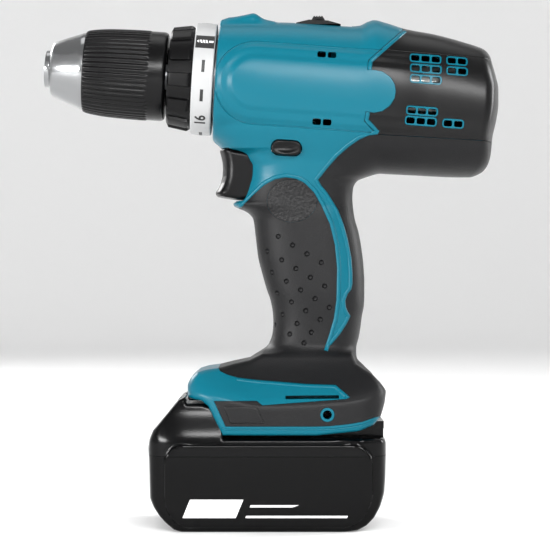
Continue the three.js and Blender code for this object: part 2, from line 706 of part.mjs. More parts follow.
// the plate on top, its knob, and the tab that sits in the speed ring's groove
function speedLever() {
  const { left, right, halfWidth } = SPEED;
  const plate = block(left, right, -halfWidth, halfWidth, 234.2, 237.2);
  const knob = sidePrism(outline([[17.6, 236], [18.8, 239.8], [22.4, 239.8], [23.6, 236]]), -6, 6);
  const [back, front] = STAGES.middle.ring;
  const groove = (back + front) / 2;
  const tab = inDrive(block(-3.2, 3.2, groove - 0.8, groove + 0.8, 20.1, 25.4));
  const arm = block(AXIS_X - groove - 0.8, left + 1, -3.2, 3.2, 233.9, 236);
  return joined(plate, knob, tab, arm);
}

const ledLens = () => ledRod(2.4, 6);

// ---- foot hardware and battery -------------------------------------------------------

function terminalBlock() {
  const body = block(4, 34, -16, 16, 52, 54.6).add(block(6, 30, -12, 12, 53, 62));
  const blades = [-10, 0, 10].map((y) => block(8, 26, y - 0.4, y + 0.4, 47.6, 53));
  return joined(body, ...blades);
}

const BATTERY_SIDE = [
  [BATTERY.left + 3.2, 11.9], [-53.5, 7], [-49, 3], [-43, BATTERY.bottom], [32, BATTERY.bottom], [40, 2.4],
  [45, 6.6], [48.6, 11.9], [50.9, 18], [51.7, 24], [BATTERY.right, 34], [BATTERY.right, 40.6],
  [51.2, 42.6], [49, BATTERY.shoulder], [-23.6, BATTERY.shoulder], [-23.6, 57], [-34, 59.4], [-40.9, 59.4],
  [-41.4, 64.6], [-44.4, 62], [-56, 47.6], [-59.2, 41.8], [BATTERY.left, 38.9], [-58.7, 26],
];

function batteryForm(inset) {
  const { left, right, halfWidth } = BATTERY;
  const side = sidePrism(outline(BATTERY_SIDE), inset - halfWidth, halfWidth - inset);
  const plan = roundedRectangle(left + inset, right - inset, inset - halfWidth, halfWidth - inset, 13);
  return side.intersect(planPrism(plan, 0, 100, 5));
}

// above the shoulder the battery is narrower than its case
function batteryOuter() {
  const { shoulder } = BATTERY;
  const corners = [[-FAR, -32], [32, FAR]].map(([y0, y1]) => block(-45, FAR, y0, y1, shoulder, FAR));
  return cutBy(batteryForm(0), ...corners);
}

const CELL_BAY = { x0: -52, x1: 45, halfWidth: 33.6, z0: 3.4, z1: 41.3 };

function cellBay() {
  const { x0, x1, halfWidth, z0, z1 } = CELL_BAY;
  const side = outline([
    [x0 + 4, z0], [x1 - 8, z0], [x1, z0 + 8], [x1 + 1.5, z1], [x0 - 2, z1], [x0 - 2, z0 + 8],
  ]);
  return sidePrism(side, -halfWidth, halfWidth);
}

function batteryCase() {
  const above = block(-FAR, FAR, -FAR, FAR, BATTERY.parting - SPLIT, FAR);
  return cutBy(batteryOuter(), cellBay(), above);
}

const LATCH = { halfWidth: 13, travel: 4 };

function latchBay() {
  const side = LATCH.halfWidth + 0.4;
  const shaft = block(-53.6, -41.8, -side, side, 50.2 - LATCH.travel, 70);
  const mouth = block(-60, -53, -side, side, 50.2, 70);
  const hookWay = block(-44, -28.6, -6.4, 6.4, 56.2 - LATCH.travel, 70);
  return joined(shaft, mouth, hookWay);
}

function batteryCover() {
  const { stem, flange, low, lip, top, left, right } = RAIL;
  const below = block(-FAR, FAR, -FAR, FAR, -FAR, BATTERY.parting + SPLIT);
  const shell = cutBy(batteryOuter(), below, cellBay());
  const rail = joined(
    block(left - 1, right, -stem, stem, low - 1, top),
    block(left - 1, right, -flange, flange, lip + 0.4, top));
  const bladeSlots = [-10, 0, 10].map((y) => block(5, FAR, y - 1, y + 1, 46.6, FAR));
  const springWell = block(-51, -45, -3, 3, 42, 52);
  return cutBy(shell.add(rail), latchBay(), ...bladeSlots, springWell);
}

function batteryLatch() {
  const side = outline([[-53.2, 50.6], [-44.6, 61.2], [-42.2, 61.6], [-42.2, 50.6]]);
  const button = sidePrism(side, -LATCH.halfWidth, LATCH.halfWidth);
  return button.add(block(-44, -29, -6, 6, 56.6, 58.9));
}

const latchSpring = () => moved(coil(2, 0.4, 0, 7.4, 4).rotate([90, 0, 0]), -48, 0, 43);

function cellPack() {
  const { radius, pitch, length, columns, rows } = CELL;
  const x0 = -3.5 - (columns - 1) * pitch / 2;
  const z0 = CELL_BAY.z0 + 0.4 + radius;
  const cells = Array.from({ length: columns * rows }, (_, i) => {
    const x = x0 + (i % columns) * pitch;
    return rodAcross(radius, x, z0 + Math.floor(i / columns) * pitch, -length / 2, length / 2, 8);
  });
  const holder = block(x0 - 8, x0 + (columns - 1) * pitch + 8, -6, 6, z0 - 5, z0 + pitch + 5);
  return joined(...cells, holder);
}

// ---- fasteners -----------------------------------------------------------------------

function housingScrew([x, z]) {
  const seat = screwSeat(x, z) + GAP;
  return joined(
    rodAcross(SCREW.shank, x, z, -7, seat + 1, 8),
    rodAcross(SCREW.head, x, z, seat, seat + SCREW.headDepth, 10));
}

// ---- assembly ------------------------------------------------------------------------

const drill = new THREE.Group();
const drive = new THREE.Group();
drive.applyMatrix4(driveMatrix);
drill.add(drive);

function piece(parent, name, solid, finish) {
  const mesh = new THREE.Mesh(geometryOf(solid), new THREE.MeshStandardMaterial(FINISH[finish]));
  mesh.name = name;
  parent.add(mesh);
  return mesh;
}

const shell = housingShell();
const rearVents = ventCutters(REAR_VENTS);
for (const [name, side] of [['left', -1], ['right', 1]]) {
  piece(drill, `housing_${name}`, half(shell, side), 'teal');
  const cover = cutBy(overmould(COVER_EDGE, side), rearVents, screwHoles());
  piece(drill, `motor_cover_${name}`, cover, 'black');
  const grip = cutBy(overmould(GRIP_EDGE, side), screwHoles(), triggerPassage());
  piece(drill, `grip_${name}`, grip, 'rubber');
}

piece(drive, 'gear_case', gearCase(), 'alloy');
piece(drive, 'motor_plate', motorPlate(), 'darkSteel');
piece(drive, 'ring_gear_rear', ringGear(STAGES.rear.ring), 'darkSteel');
piece(drive, 'ring_gear_front', ringGear(STAGES.front.ring), 'darkSteel');
piece(drive, 'speed_ring', speedRing(), 'steel');
piece(drive, 'spindle_bearing', spindleBearing(), 'brass');
piece(drive, 'rear_bearing', rearBearing(), 'steel');
piece(drive, 'motor_can', motorCan(), 'alloy');
piece(drive, 'brush_cap', brushCap(), 'black');
piece(drive, 'motor_shaft', rod(MOTOR.shaft, MOTOR.end, STAGES.rear.back - 1.2, 16), 'steel');
piece(drive, 'motor_pinion', gear(SUN_TEETH, STAGES.rear.back - 0.9, STAGES.rear.front), 'steel');
piece(drive, 'armature_core', armatureCore(), 'darkSteel');
piece(drive, 'commutator', commutator(), 'copper');
piece(drive, 'cooling_fan', coolingFan(), 'black');
piece(drive, 'carrier_1', carrier(STAGES.rear, STAGES.middle), 'steel');
piece(drive, 'carrier_2', carrier(STAGES.middle, STAGES.front), 'steel');
piece(drive, 'spindle', spindle(), 'steel');

Object.values(STAGES).forEach((stage, number) => {
  for (let k = 0; k < PLANETS; k += 1) {
    const planet = piece(drive, `planet_${number + 1}_${k + 1}`, planetGear(stage), 'darkSteel');
    planet.position.set(PLANET_ORBIT * Math.cos(planetAngle(k)), 0, -PLANET_ORBIT * Math.sin(planetAngle(k)));
  }
});

piece(drive, 'chuck_body', chuckBody(), 'steel');
piece(drive, 'chuck_screw', chuckScrew(), 'darkSteel');
piece(drive, 'chuck_sleeve', chuckSleeve(), 'black');
piece(drive, 'jaw_nut', jawNut(), 'darkSteel');
for (let k = 0; k < 3; k += 1) {
  piece(drive, `jaw_${k + 1}`, aroundChuck(jaw(), k), 'darkSteel');
}
piece(drive, 'torque_dial', torqueDial(), 'pale');
piece(drive, 'torque_ring', torqueRing(), 'black');
piece(drive, 'clutch_nut', clutchNut(), 'brass');
piece(drive, 'clutch_spring', clutchSpring(), 'steel');

piece(drill, 'trigger', trigger(), 'black');
piece(drill, 'trigger_spring', triggerSpring(), 'steel');
piece(drill, 'switch_body', switchBody(), 'black');
piece(drill, 'direction_lever', directionLever(), 'black');
piece(drill, 'speed_lever', speedLever(), 'black');
piece(drill, 'led_lens', ledLens(), 'lens');
piece(drill, 'terminal_block', terminalBlock(), 'black');
piece(drill, 'battery_case', batteryCase(), 'black');
piece(drill, 'battery_cover', batteryCover(), 'black');
piece(drill, 'cell_pack', cellPack(), 'cell');
piece(drill, 'battery_latch', batteryLatch(), 'black');
piece(drill, 'latch_spring', latchSpring(), 'steel');
SCREWS.forEach((place, i) => piece(drill, `housing_screw_${i + 1}`, housingScrew(place), 'darkSteel'));

drill.updateMatrixWorld(true);
const bounds = new THREE.Box3().setFromObject(drill, true);
const centre = bounds.getCenter(new THREE.Vector3());
drill.position.set(-centre.x, -centre.y, -bounds.min.z);
drill.updateMatrixWorld(true);

export default drill;
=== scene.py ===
"""A cordless drill driver: housing, grips, chuck, dial and battery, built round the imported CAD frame."""

import itertools
import json
import math

import bmesh
import bpy
import numpy as np
from mathutils import Matrix, Vector


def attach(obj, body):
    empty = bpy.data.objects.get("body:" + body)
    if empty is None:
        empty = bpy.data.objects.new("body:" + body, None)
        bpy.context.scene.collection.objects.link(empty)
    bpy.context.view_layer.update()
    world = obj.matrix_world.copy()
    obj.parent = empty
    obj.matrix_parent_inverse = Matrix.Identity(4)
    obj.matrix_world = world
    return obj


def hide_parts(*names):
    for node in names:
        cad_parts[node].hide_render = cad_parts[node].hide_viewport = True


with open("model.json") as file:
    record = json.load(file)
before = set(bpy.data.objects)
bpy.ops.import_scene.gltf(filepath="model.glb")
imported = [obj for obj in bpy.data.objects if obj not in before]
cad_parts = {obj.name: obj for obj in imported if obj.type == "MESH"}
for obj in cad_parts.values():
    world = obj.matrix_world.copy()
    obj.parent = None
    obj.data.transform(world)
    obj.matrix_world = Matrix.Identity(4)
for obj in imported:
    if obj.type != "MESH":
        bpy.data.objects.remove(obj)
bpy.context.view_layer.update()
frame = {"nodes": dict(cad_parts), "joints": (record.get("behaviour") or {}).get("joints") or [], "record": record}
JOINTS = {joint["name"]: joint for joint in frame["joints"]}


# ---- the drawing sheet: millimetres, x towards the back, z up, y = 0 at the parting plane ----

HUB = Vector(JOINTS["motor_spin"]["pos_m"])
NOSEWARD = Vector(JOINTS["motor_spin"]["axis"])
HUB_ON_SHEET = np.array([-28.0, 0.0, 211.4])
MM = 0.001


def in_frame(points):
    """Points of the sheet, as metres in the frame's own axes."""
    return (np.asarray(points, float) - HUB_ON_SHEET) * MM + np.array(HUB)


# ---- shapes as fields: the distance to a surface in millimetres, negative inside ----

def through(rows):
    """A smooth curve through (place, value) rows that never overshoots them."""
    place, value = np.array(rows, float).T
    gap = np.diff(place)
    rise = np.diff(value) / gap
    slope = np.concatenate([rise[:1], np.zeros(len(gap) - 1), rise[-1:]])
    turning = rise[:-1] * rise[1:] <= 0
    near, far = 2 * gap[1:] + gap[:-1], gap[1:] + 2 * gap[:-1]
    steady = (near + far) / (near / np.where(turning, 1, rise[:-1]) + far / np.where(turning, 1, rise[1:]))
    slope[1:-1] = np.where(turning, 0, steady)

    def curve(at):
        at = np.clip(at, place[0], place[-1])
        i = np.clip(np.searchsorted(place, at, side="right") - 1, 0, len(gap) - 1)
        t = (at - place[i]) / gap[i]
        bend = slope[i] * (1 - t) - slope[i + 1] * t + (value[i + 1] - value[i]) / gap[i] * (2 * t - 1)
        return value[i] + (value[i + 1] - value[i]) * t + bend * gap[i] * t * (1 - t)

    return curve


def oval(a, b, half_a, half_b, power):
    """Distance to an oval: power 2 is an ellipse, and a higher one is squarer."""
    p, q = np.abs(a) / half_a, np.abs(b) / half_b
    size = np.maximum(p ** power + q ** power, 1e-6) ** (1 / power)
    steep = np.hypot(p ** (power - 1) / half_a, q ** (power - 1) / half_b) * size ** (1 - power)
    return (size - 1) / np.maximum(steep, 1e-3)


def both(a, b, radius):
    """Inside both shapes, with their meeting edge rounded to a radius."""
    corner = np.hypot(np.maximum(a + radius, 0), np.maximum(b + radius, 0))
    return np.minimum(np.maximum(a, b), -radius) + corner


def either(a, b, radius):
    """Inside either shape, with their meeting corner filled to a radius."""
    return -both(-a, -b, radius)


def smoothstep(value, start, end):
    """0 before the start, 1 past the end, and a smooth rise between."""
    t = np.clip((value - start) / (end - start), 0, 1)
    return t * t * (3 - 2 * t)


def off_line(x, z, start, end):
    """How far places on the side view are from a straight line."""
    (x0, z0), (x1, z1) = start, end
    dx, dz = x1 - x0, z1 - z0
    along = np.clip(((x - x0) * dx + (z - z0) * dz) / (dx * dx + dz * dz), 0, 1)
    return np.hypot(x - x0 - along * dx, z - z0 - along * dz)


def outlined(points):
    """The field of a straight-sided outline on the side view."""
    ends = np.array(points, float)
    starts = np.roll(ends, 1, axis=0)

    def field(x, z):
        nearest, inside = np.inf, False
        for start, end in zip(starts, ends):
            nearest = np.minimum(nearest, off_line(x, z, start, end))
            (x0, z0), (x1, z1) = start, end
            if z1 != z0:
                crosses = ((z0 > z) != (z1 > z)) & (x < x0 + (z - z0) / (z1 - z0) * (x1 - x0))
                inside = inside ^ crosses
        return np.where(inside, -nearest, nearest)

    return field


# ---- the body's form ----

BARREL_POWER, BARREL_EDGE = 2.3, 3.2
BARREL_TOP = through([
    [-33, 238.0], [-22, 238.6], [-3, 238.7], [10, 238.4], [31, 237.1], [37, 236.8], [40, 237.1],
    [44, 238.9], [47, 239.7], [52, 238.5], [62, 235.4], [75, 233], [90, 229], [100, 225.6], [108, 222],
])
BARREL_BOTTOM = through([
    [-33, 184.8], [-22, 182], [-10, 177], [-3, 174], [15, 170.5], [36, 168], [50, 167], [65, 166.2],
    [88, 165.2], [108, 165.2],
])
BARREL_HALF = through([
    [-33, 26.6], [-22, 27.6], [-3, 29], [36, 30.5], [46, 30.8], [62, 30.5], [90, 29], [108, 27.5],
])
TAIL = through([
    [160, 91], [165, 95.5], [168, 99], [171, 101], [175, 102.2], [184, 103.2], [192, 105], [200, 106],
    [206, 106], [213, 104.6], [220, 102.6], [226, 101], [232, 98],
])
TAIL_CROWN = 0.007
FRONT_GAP, FRONT_EDGE = 0.3, 1.2

HANDLE_POWER, HANDLE_FOOT, HANDLE_TOP = 2.6, 72, 189
HANDLE_FRONT = through([
    [70, -15], [76, -12.5], [80.8, -8], [83, -5], [87, -2.5], [91, -1.2], [96, -0.8], [100, -1],
    [106, -2], [112, -4], [119, -6], [127, -8], [135, -9], [142, -9.8], [145, -10.3], [147.5, -12],
    [149.2, -14.5], [150.4, -17.5], [151.6, -19.6], [152.6, -19.8], [153.4, -18.6], [154.4, -18],
    [157, -16.6], [160, -15.4], [165, -13.9], [170, -13.6], [173, -15], [175.6, -16.5], [177.2, -20],
    [178.4, -25], [180, -26.4], [185, -30], [190, -31],
])
HANDLE_BACK = through([
    [70, 44], [76, 40.5], [80, 37.9], [84, 38.5], [90, 40], [100, 41.5], [104.5, 42.3], [110, 42.5],
    [115, 42.5], [124, 42], [132, 41], [139.5, 39.6], [145, 38], [150, 37.2], [155, 36.8], [160, 37.2],
    [163.3, 39], [166, 44], [170, 50], [180, 60], [190, 62],
])
HANDLE_HALF = through([
    [70, 22], [76, 19.5], [80.8, 17.4], [91, 17.3], [112, 18.3], [137, 18.2], [155, 18.2], [163, 18.9],
    [170, 20.2], [177, 21.6], [186, 23], [190, 22.4],
])

FOOT_HALF = through([
    [-20, 37.5], [-2, 37.8], [-0.4, 37.6], [0.6, 37.1], [3, 35.6], [7, 32], [12, 27.2], [18, 22.4],
    [24, 19],
])
FOOT_SHOULDER = through([[-42, 66], [-25, 62.5], [-6, 58.6], [34, 60.6], [53, 64.6]])
FOOT_SIDE = outlined([
    [-24, 45], [19, 45], [38.5, 46.9], [45.5, 49.7], [49, 53.5], [51.2, 59.5], [52.2, 64.6], [48.8, 68.9],
    [45.2, 72.6], [42.3, 74.4], [38, 77.2], [36, 82], [-6, 82], [-12, 79], [-20, 77.2], [-26, 75.6],
    [-32, 74.8], [-36, 73.6], [-39, 71.2], [-41.2, 67.6], [-41.2, 62.5], [-40, 61.6], [-33.7, 60.8],
    [-30.8, 58.4],
])
FOOT_CENTRE, FOOT_REACH, FOOT_POWER, FOOT_EDGE = 5.5, 47.5, 5.5, 2.2

BUMP_SIDE = outlined([
    [-28.6, 225], [-27.4, 238.2], [-25, 239], [-22, 240.2], [-18, 240.7], [-13, 241.7], [-10.4, 242.3],
    [-9, 242], [-5, 239.3], [-1, 237.8], [4, 225],
])
BUMP_HALF, BUMP_EDGE = 12, 3.5
BUMP_FILLET, HANDLE_FILLET, FOOT_FILLET = 2.5, 5, 4.5


def barrel(x, y, z):
    top, bottom = BARREL_TOP(x), BARREL_BOTTOM(x)
    middle, half = (top + bottom) / 2, (top - bottom) / 2
    tube = oval(z - middle, y, half, BARREL_HALF(x), BARREL_POWER)
    return both(tube, x - TAIL(z) + TAIL_CROWN * y * y, BARREL_EDGE)


def handle(x, y, z):
    front, back = HANDLE_FRONT(z), HANDLE_BACK(z)
    grip = oval(x - (front + back) / 2, y, (back - front) / 2, HANDLE_HALF(z), HANDLE_POWER)
    return both(both(grip, z - HANDLE_TOP, 3), HANDLE_FOOT - z, 1)


def foot(x, y, z):
    plan = oval(x - FOOT_CENTRE, y, FOOT_REACH, FOOT_HALF(z - FOOT_SHOULDER(x)), FOOT_POWER)
    return both(FOOT_SIDE(x, z), plan, FOOT_EDGE)


def bump(x, y, z):
    return both(BUMP_SIDE(x, z), np.abs(y) - BUMP_HALF, BUMP_EDGE)


def body(x, y, z):
    """The whole housing's outer form."""
    upper = either(either(barrel(x, y, z), bump(x, y, z), BUMP_FILLET), handle(x, y, z), HANDLE_FILLET)
    ahead = NOSEWARD.x * (x - HUB_ON_SHEET[0]) + NOSEWARD.z * (z - HUB_ON_SHEET[2]) + FRONT_GAP
    return either(both(upper, ahead, FRONT_EDGE), foot(x, y, z), FOOT_FILLET)


# ---- meshes of those forms ----

FAR = 60
SEAM = 0.02
ON_BODY = -0.02
LINE_STEP, STRIP_SIDES = 0.7, 12
NEAR_SEAM, PAST_SEAM = -9, 1.6


def surface(field, low, high, cell):
    """Points and four-sided faces of a field's surface inside a box."""
    axes = [np.arange(a - cell, b + 2 * cell, cell) for a, b in zip(low, high)]
    grid = np.meshgrid(*axes, indexing="ij", sparse=True)
    values = np.array(np.broadcast_to(field(*grid), [len(axis) for axis in axes]))
    cells, number = crossed_cells(values < 0)
    points = settled(field, crossing_points(values, cells) * cell + [axis[0] for axis in axes], cell)
    return points, faces_round_edges(values < 0, number)


def crossed_cells(inside):
    """The cells that the surface passes through, and each one's number."""
    corners = itertools.product((slice(None, -1), slice(1, None)), repeat=3)
    count = sum(inside[corner].astype(np.int8) for corner in corners)
    crossed = (count > 0) & (count < 8)
    number = np.full(crossed.shape, -1)
    number[crossed] = np.arange(crossed.sum())
    return np.argwhere(crossed), number


def crossing_points(values, cells):
    """The middle of the places where the surface crosses each cell's edges, in cells."""
    total, hits = np.zeros(cells.shape), np.zeros(len(cells))
    for axis in range(3):
        step = np.eye(3, dtype=int)[axis]
        for offset in itertools.product((0, 1), repeat=3):
            if offset[axis]:
                continue
            start = values[tuple((cells + offset).T)]
            end = values[tuple((cells + offset + step).T)]
            cut = (start < 0) != (end < 0)
            share = start[cut] / (start[cut] - end[cut])
            total[cut] += np.array(offset) + share[:, None] * step
            hits += cut
    return cells + total / hits[:, None]


def faces_round_edges(inside, number):
    """One face for each grid edge that the surface crosses, facing outwards."""
    faces = []
    for axis in range(3):
        step, u, v = np.roll(np.eye(3, dtype=int), -axis, axis=0)
        lower = inside[tuple(slice(None, -1) if k == axis else slice(1, -1) for k in range(3))]
        upper = inside[tuple(slice(1, None) if k == axis else slice(1, -1) for k in range(3))]
        edges = np.argwhere(lower != upper)
        leaving = lower[tuple(edges.T)]
        at = edges + 1 - step
        ring = [at - u - v, at - v, at, at - u]
        face = np.stack([number[tuple(corner.T)] for corner in ring], axis=1)
        faces.append(np.where(leaving[:, None], face, face[:, ::-1]))
    return np.concatenate(faces)


def slope_of(field, points):
    """The field's gradient at each point."""
    reach = 0.02
    slopes = []
    for step in np.eye(3) * reach:
        slopes.append((field(*(points + step).T) - field(*(points - step).T)) / (2 * reach))
    return np.stack(slopes, axis=1)


def settled(field, points, cell):
    """Points moved onto the field's surface."""
    for _ in range(4):
        slope = slope_of(field, points)
        steep = np.maximum((slope ** 2).sum(1), 0.01)
        move = -(field(*points.T) / steep)[:, None] * slope
        length = np.maximum(np.linalg.norm(move, axis=1), 1e-9)
        points = points + move * np.minimum(1, cell / 2 / length)[:, None]
    return points


def placed(name, data):
    """A new object in the scene."""
    thing = bpy.data.objects.new(name, data)
    bpy.context.scene.collection.objects.link(thing)
    return thing


def piece(name, points, faces):
    """A new object from points on the sheet."""
    mesh = bpy.data.meshes.new(name)
    mesh.from_pydata(in_frame(points), [], faces)
    return placed(name, mesh)


def carved(name, field, low, high, cell):
    """A piece with a field's form."""
    return piece(name, *surface(field, low, high, cell))


def runs_left(outline):
    """Whether a closed outline runs anticlockwise."""
    return sum(a[0] * b[1] - b[0] * a[1] for a, b in zip(outline, outline[1:] + outline[:1])) >= 0


def bands(first, rings, around):
    """Four-sided faces between rings of points that follow one another."""
    faces = []
    for a in range(first, first + (rings - 1) * around, around):
        b = a + around
        faces += [[a + k, b + k, b + (k + 1) % around, a + (k + 1) % around] for k in range(around)]
    return faces


def prism(outline, y0, y1, name="tool"):
    """A straight-sided solid: an outline on the side view, carried from one depth to another."""
    count = len(outline)
    points = [(x, y, z) for y in (y0, y1) for x, z in outline]
    faces = [list(range(count)), list(range(2 * count - 1, count - 1, -1)), *bands(0, 2, count)]
    if not runs_left(outline):
        faces = [face[::-1] for face in faces]
    return piece(name, points, faces)


def block(x0, x1, y0, y1, z0, z1):
    return prism([(x0, z0), (x1, z0), (x1, z1), (x0, z1)], y0, y1)


def circle(x, z, radius, count=40):
    turns = [2 * math.pi * i / count for i in range(count)]
    return [(x + radius * math.cos(turn), z + radius * math.sin(turn)) for turn in turns]


def rounded(outline, radius, steps=6):
    """An outline with its corners rounded off."""
    result = []
    for i, corner in enumerate(outline):
        here = Vector(corner)
        before, after = Vector(outline[i - 1]) - here, Vector(outline[(i + 1) % len(outline)]) - here
        reach = min(radius, 0.45 * before.length, 0.45 * after.length)
        start, end = here + before.normalized() * reach, here + after.normalized() * reach
        for k in range(steps + 1):
            t = k / steps
            result.append(tuple(start * (1 - t) ** 2 + here * 2 * t * (1 - t) + end * t * t))
    return result


def grown(outline, distance):
    """An outline moved outwards by a distance, corner by corner."""
    points = [Vector(point) for point in outline]
    out = distance if runs_left(outline) else -distance
    result = []
    for i, here in enumerate(points):
        before = (here - points[i - 1]).normalized()
        after = (points[(i + 1) % len(points)] - here).normalized()
        along = (before + after).normalized() if (before + after).length > 0.01 else after
        reach = out / max(along.dot(after), 0.5)
        result.append((here.x + along.y * reach, here.y - along.x * reach))
    return result


def stadium(length, height, count=10):
    """A lying bar with round ends about the origin."""
    radius = height / 2
    turns = [math.pi * (i / count - 0.5) for i in range(count + 1)]
    right = [(length / 2 - radius + radius * math.cos(t), radius * math.sin(t)) for t in turns]
    return right + [(-x, -z) for x, z in right]


def tilted(outline, centre, degrees):
    """An outline turned about a point."""
    c, s = math.cos(math.radians(degrees)), math.sin(math.radians(degrees))
    return [(centre[0] + c * x - s * z, centre[1] + s * x + c * z) for x, z in outline]


def bar(length, height, radius):
    """A lying rectangle with rounded corners about the origin."""
    x, z = length / 2, height / 2
    return rounded([(-x, -z), (x, -z), (x, z), (-x, z)], radius, 4)


def combine(target, tool, how):
    """Cuts, joins or keeps what is common, and uses the tool up."""
    modifier = target.modifiers.new("combine", "BOOLEAN")
    modifier.operation, modifier.object, modifier.solver = how, tool, "MANIFOLD"
    shown = target.evaluated_get(bpy.context.evaluated_depsgraph_get())
    mesh = bpy.data.meshes.new_from_object(shown)
    target.modifiers.clear()
    target.data = mesh
    bpy.data.objects.remove(tool)
    return target


def cut(target, *tools):
    for tool in tools:
        combine(target, tool, "DIFFERENCE")
    return target


def join(target, *tools):
    for tool in tools:
        combine(target, tool, "UNION")
    return target


def common(target, tool):
    return combine(target, tool, "INTERSECT")


def copied(thing, name):
    return placed(name, thing.data.copy())


def mirrored(thing, name):
    """A copy on the other side of the parting plane."""
    twin = copied(thing, name)
    twin.data.transform(Matrix.Diagonal((1, -1, 1, 1)))
    twin.data.flip_normals()
    return twin


def smooth(thing, degrees=38):
    """Smooth shading that keeps the edges sharper than an angle."""
    thing.data.polygons.foreach_set("use_smooth", [True] * len(thing.data.polygons))
    thing.data.set_sharp_from_angle(angle=math.radians(degrees))
    return thing


# ---- lines that run over the body ----

def depth_of_body(x, z):
    """How far out the body's side stands at places inside its side view."""
    inner, outer = np.zeros(len(x)), np.full(len(x), 45.0)
    for _ in range(24):
        middle = (inner + outer) / 2
        inside = raised(x, middle, z) < 0
        inner, outer = np.where(inside, middle, inner), np.where(inside, outer, middle)
    return inner


def evenly(points, spacing):
    """Points at even steps along a line."""
    gaps = np.linalg.norm(np.diff(points, axis=0), axis=1)
    run = np.concatenate([[0], np.cumsum(gaps)])
    at = np.linspace(0, run[-1], max(3, int(run[-1] / spacing)))
    return np.stack([np.interp(at, run, column) for column in points.T], axis=1)


def over_body(outline, depth):
    """The lines on the body's left side that an open outline on the side view makes, as runs of points."""
    flat = evenly(np.array(outline, float), 0.2)
    inside = body(flat[:, 0], np.zeros(len(flat)), flat[:, 1]) < ON_BODY
    runs = []
    for is_in, group in itertools.groupby(range(len(flat)), key=lambda i: inside[i]):
        group = list(group)
        if not is_in or len(group) < 4:
            continue
        x, z = flat[group].T
        line = np.stack([x, -depth_of_body(x, z), z], axis=1)
        if not inside.all():
            line = carried_over(line)
        line = settled(raised, evenly(line, LINE_STEP), 1)
        runs.append(line - depth * unit(slope_of(raised, line)))
    return runs


def carried_over(line):
    """A line whose ends at the parting plane run on a little past it."""
    start, end = line[0], line[-1]
    before = [start * [1, 0, 1], start * [1, 0, 1] + [0, PAST_SEAM, 0]] if start[1] > NEAR_SEAM else []
    after = [end * [1, 0, 1], end * [1, 0, 1] + [0, PAST_SEAM, 0]] if end[1] > NEAR_SEAM else []
    return np.array([*before[::-1], *line, *after])


def unit(vectors):
    return vectors / np.maximum(np.linalg.norm(vectors, axis=1), 1e-9)[:, None]


def strip(line, half_width, half_height):
    """A strip with an oval section lying along a line on the body."""
    ahead, out = unit(np.gradient(line, axis=0)), unit(slope_of(raised, line))
    across = unit(np.cross(ahead, out))
    sides = STRIP_SIDES
    turns = np.linspace(0, 2 * math.pi, sides, endpoint=False)
    rings = [line + half_width * math.cos(t) * across + half_height * math.sin(t) * out for t in turns]
    points = np.stack(rings, axis=1).reshape(-1, 3)
    last = (len(line) - 1) * sides
    ends = [list(range(sides)), list(range(last, last + sides))[::-1]]
    return piece("strip", points, bands(0, len(line), sides) + ends)


def strips(outline, half_width, half_height, depth=0.0):
    """Strips over the body along an open outline, to raise a ridge or cut a groove."""
    return [strip(line, half_width, half_height) for line in over_body(outline, depth)]


# ---- finishes ----

INPUTS = {
    "rough": "Roughness", "metal": "Metallic", "shine": "Specular IOR Level", "glass": "Transmission Weight",
    "bending": "IOR",
}
# a grain is its features in a metre, its height in metres, and its detail where that isn't the usual one
FINISHES = {
    "teal_shell": dict(colour=(0.0, 0.098, 0.142), rough=0.32, shine=0.2, grain=(2200, 0.00002)),
    "black_cover": dict(colour=(0.003, 0.003, 0.0032), rough=0.3, shine=0.22, grain=(1600, 0.00003)),
    "grip_rubber": dict(colour=(0.006, 0.006, 0.0065), rough=0.46, shine=0.2, grain=(1500, 0.0001)),
    "thumb_leather": dict(colour=(0.008, 0.008, 0.0085), rough=0.45, shine=0.22, grain=(750, 0.0005, 1.0)),
    "black_plastic": dict(colour=(0.002, 0.002, 0.0022), rough=0.3, shine=0.17, grain=(2500, 0.00003)),
    "sleeve_black": dict(colour=(0.002, 0.002, 0.0022), rough=0.26, shine=0.2, grain=(2500, 0.00003)),
    "turned_steel": dict(colour=(0.3, 0.305, 0.31), rough=0.17, metal=1.0),
    "ground_steel": dict(colour=(0.25, 0.255, 0.265), rough=0.3, metal=1.0),
    "oiled_steel": dict(colour=(0.16, 0.165, 0.175), rough=0.38, metal=1.0),
    "cast_alloy": dict(colour=(0.45, 0.46, 0.48), rough=0.48, metal=1.0, grain=(900, 0.00006)),
    "plated_can": dict(colour=(0.55, 0.55, 0.53), rough=0.35, metal=1.0),
    "sintered_bronze": dict(colour=(0.5, 0.34, 0.16), rough=0.45, metal=1.0),
    "bare_copper": dict(colour=(0.65, 0.3, 0.17), rough=0.3, metal=1.0),
    "dial_silver": dict(colour=(0.36, 0.363, 0.365), rough=0.35, grain=(2500, 0.00002)),
    "dial_ink": dict(colour=(0.01, 0.01, 0.01), rough=0.5),
    "white_ink": dict(colour=(0.8, 0.8, 0.8), rough=0.45),
    "clear_lens": dict(colour=(0.95, 0.97, 1.0), rough=0.05, glass=1.0, bending=1.49),
    "battery_gloss": dict(colour=(0.001, 0.001, 0.0011), rough=0.1, shine=0.13),
    "battery_satin": dict(colour=(0.001, 0.001, 0.0012), rough=0.16, shine=0.15, grain=(1800, 0.00002)),
    "cell_wrap": dict(colour=(0.02, 0.12, 0.05), rough=0.4),
    "pale_floor": dict(colour=(0.93, 0.93, 0.93), rough=0.9),
}
MADE = {}


def new_material(name, colour, grain=None, **inputs):
    material = bpy.data.materials.new(name)
    material.use_nodes = True
    shader = material.node_tree.nodes["Principled BSDF"]
    shader.inputs["Base Color"].default_value = (*colour, 1)
    for word, value in inputs.items():
        shader.inputs[INPUTS[word]].default_value = value
    if grain:
        add_grain(material, *grain)
    return material


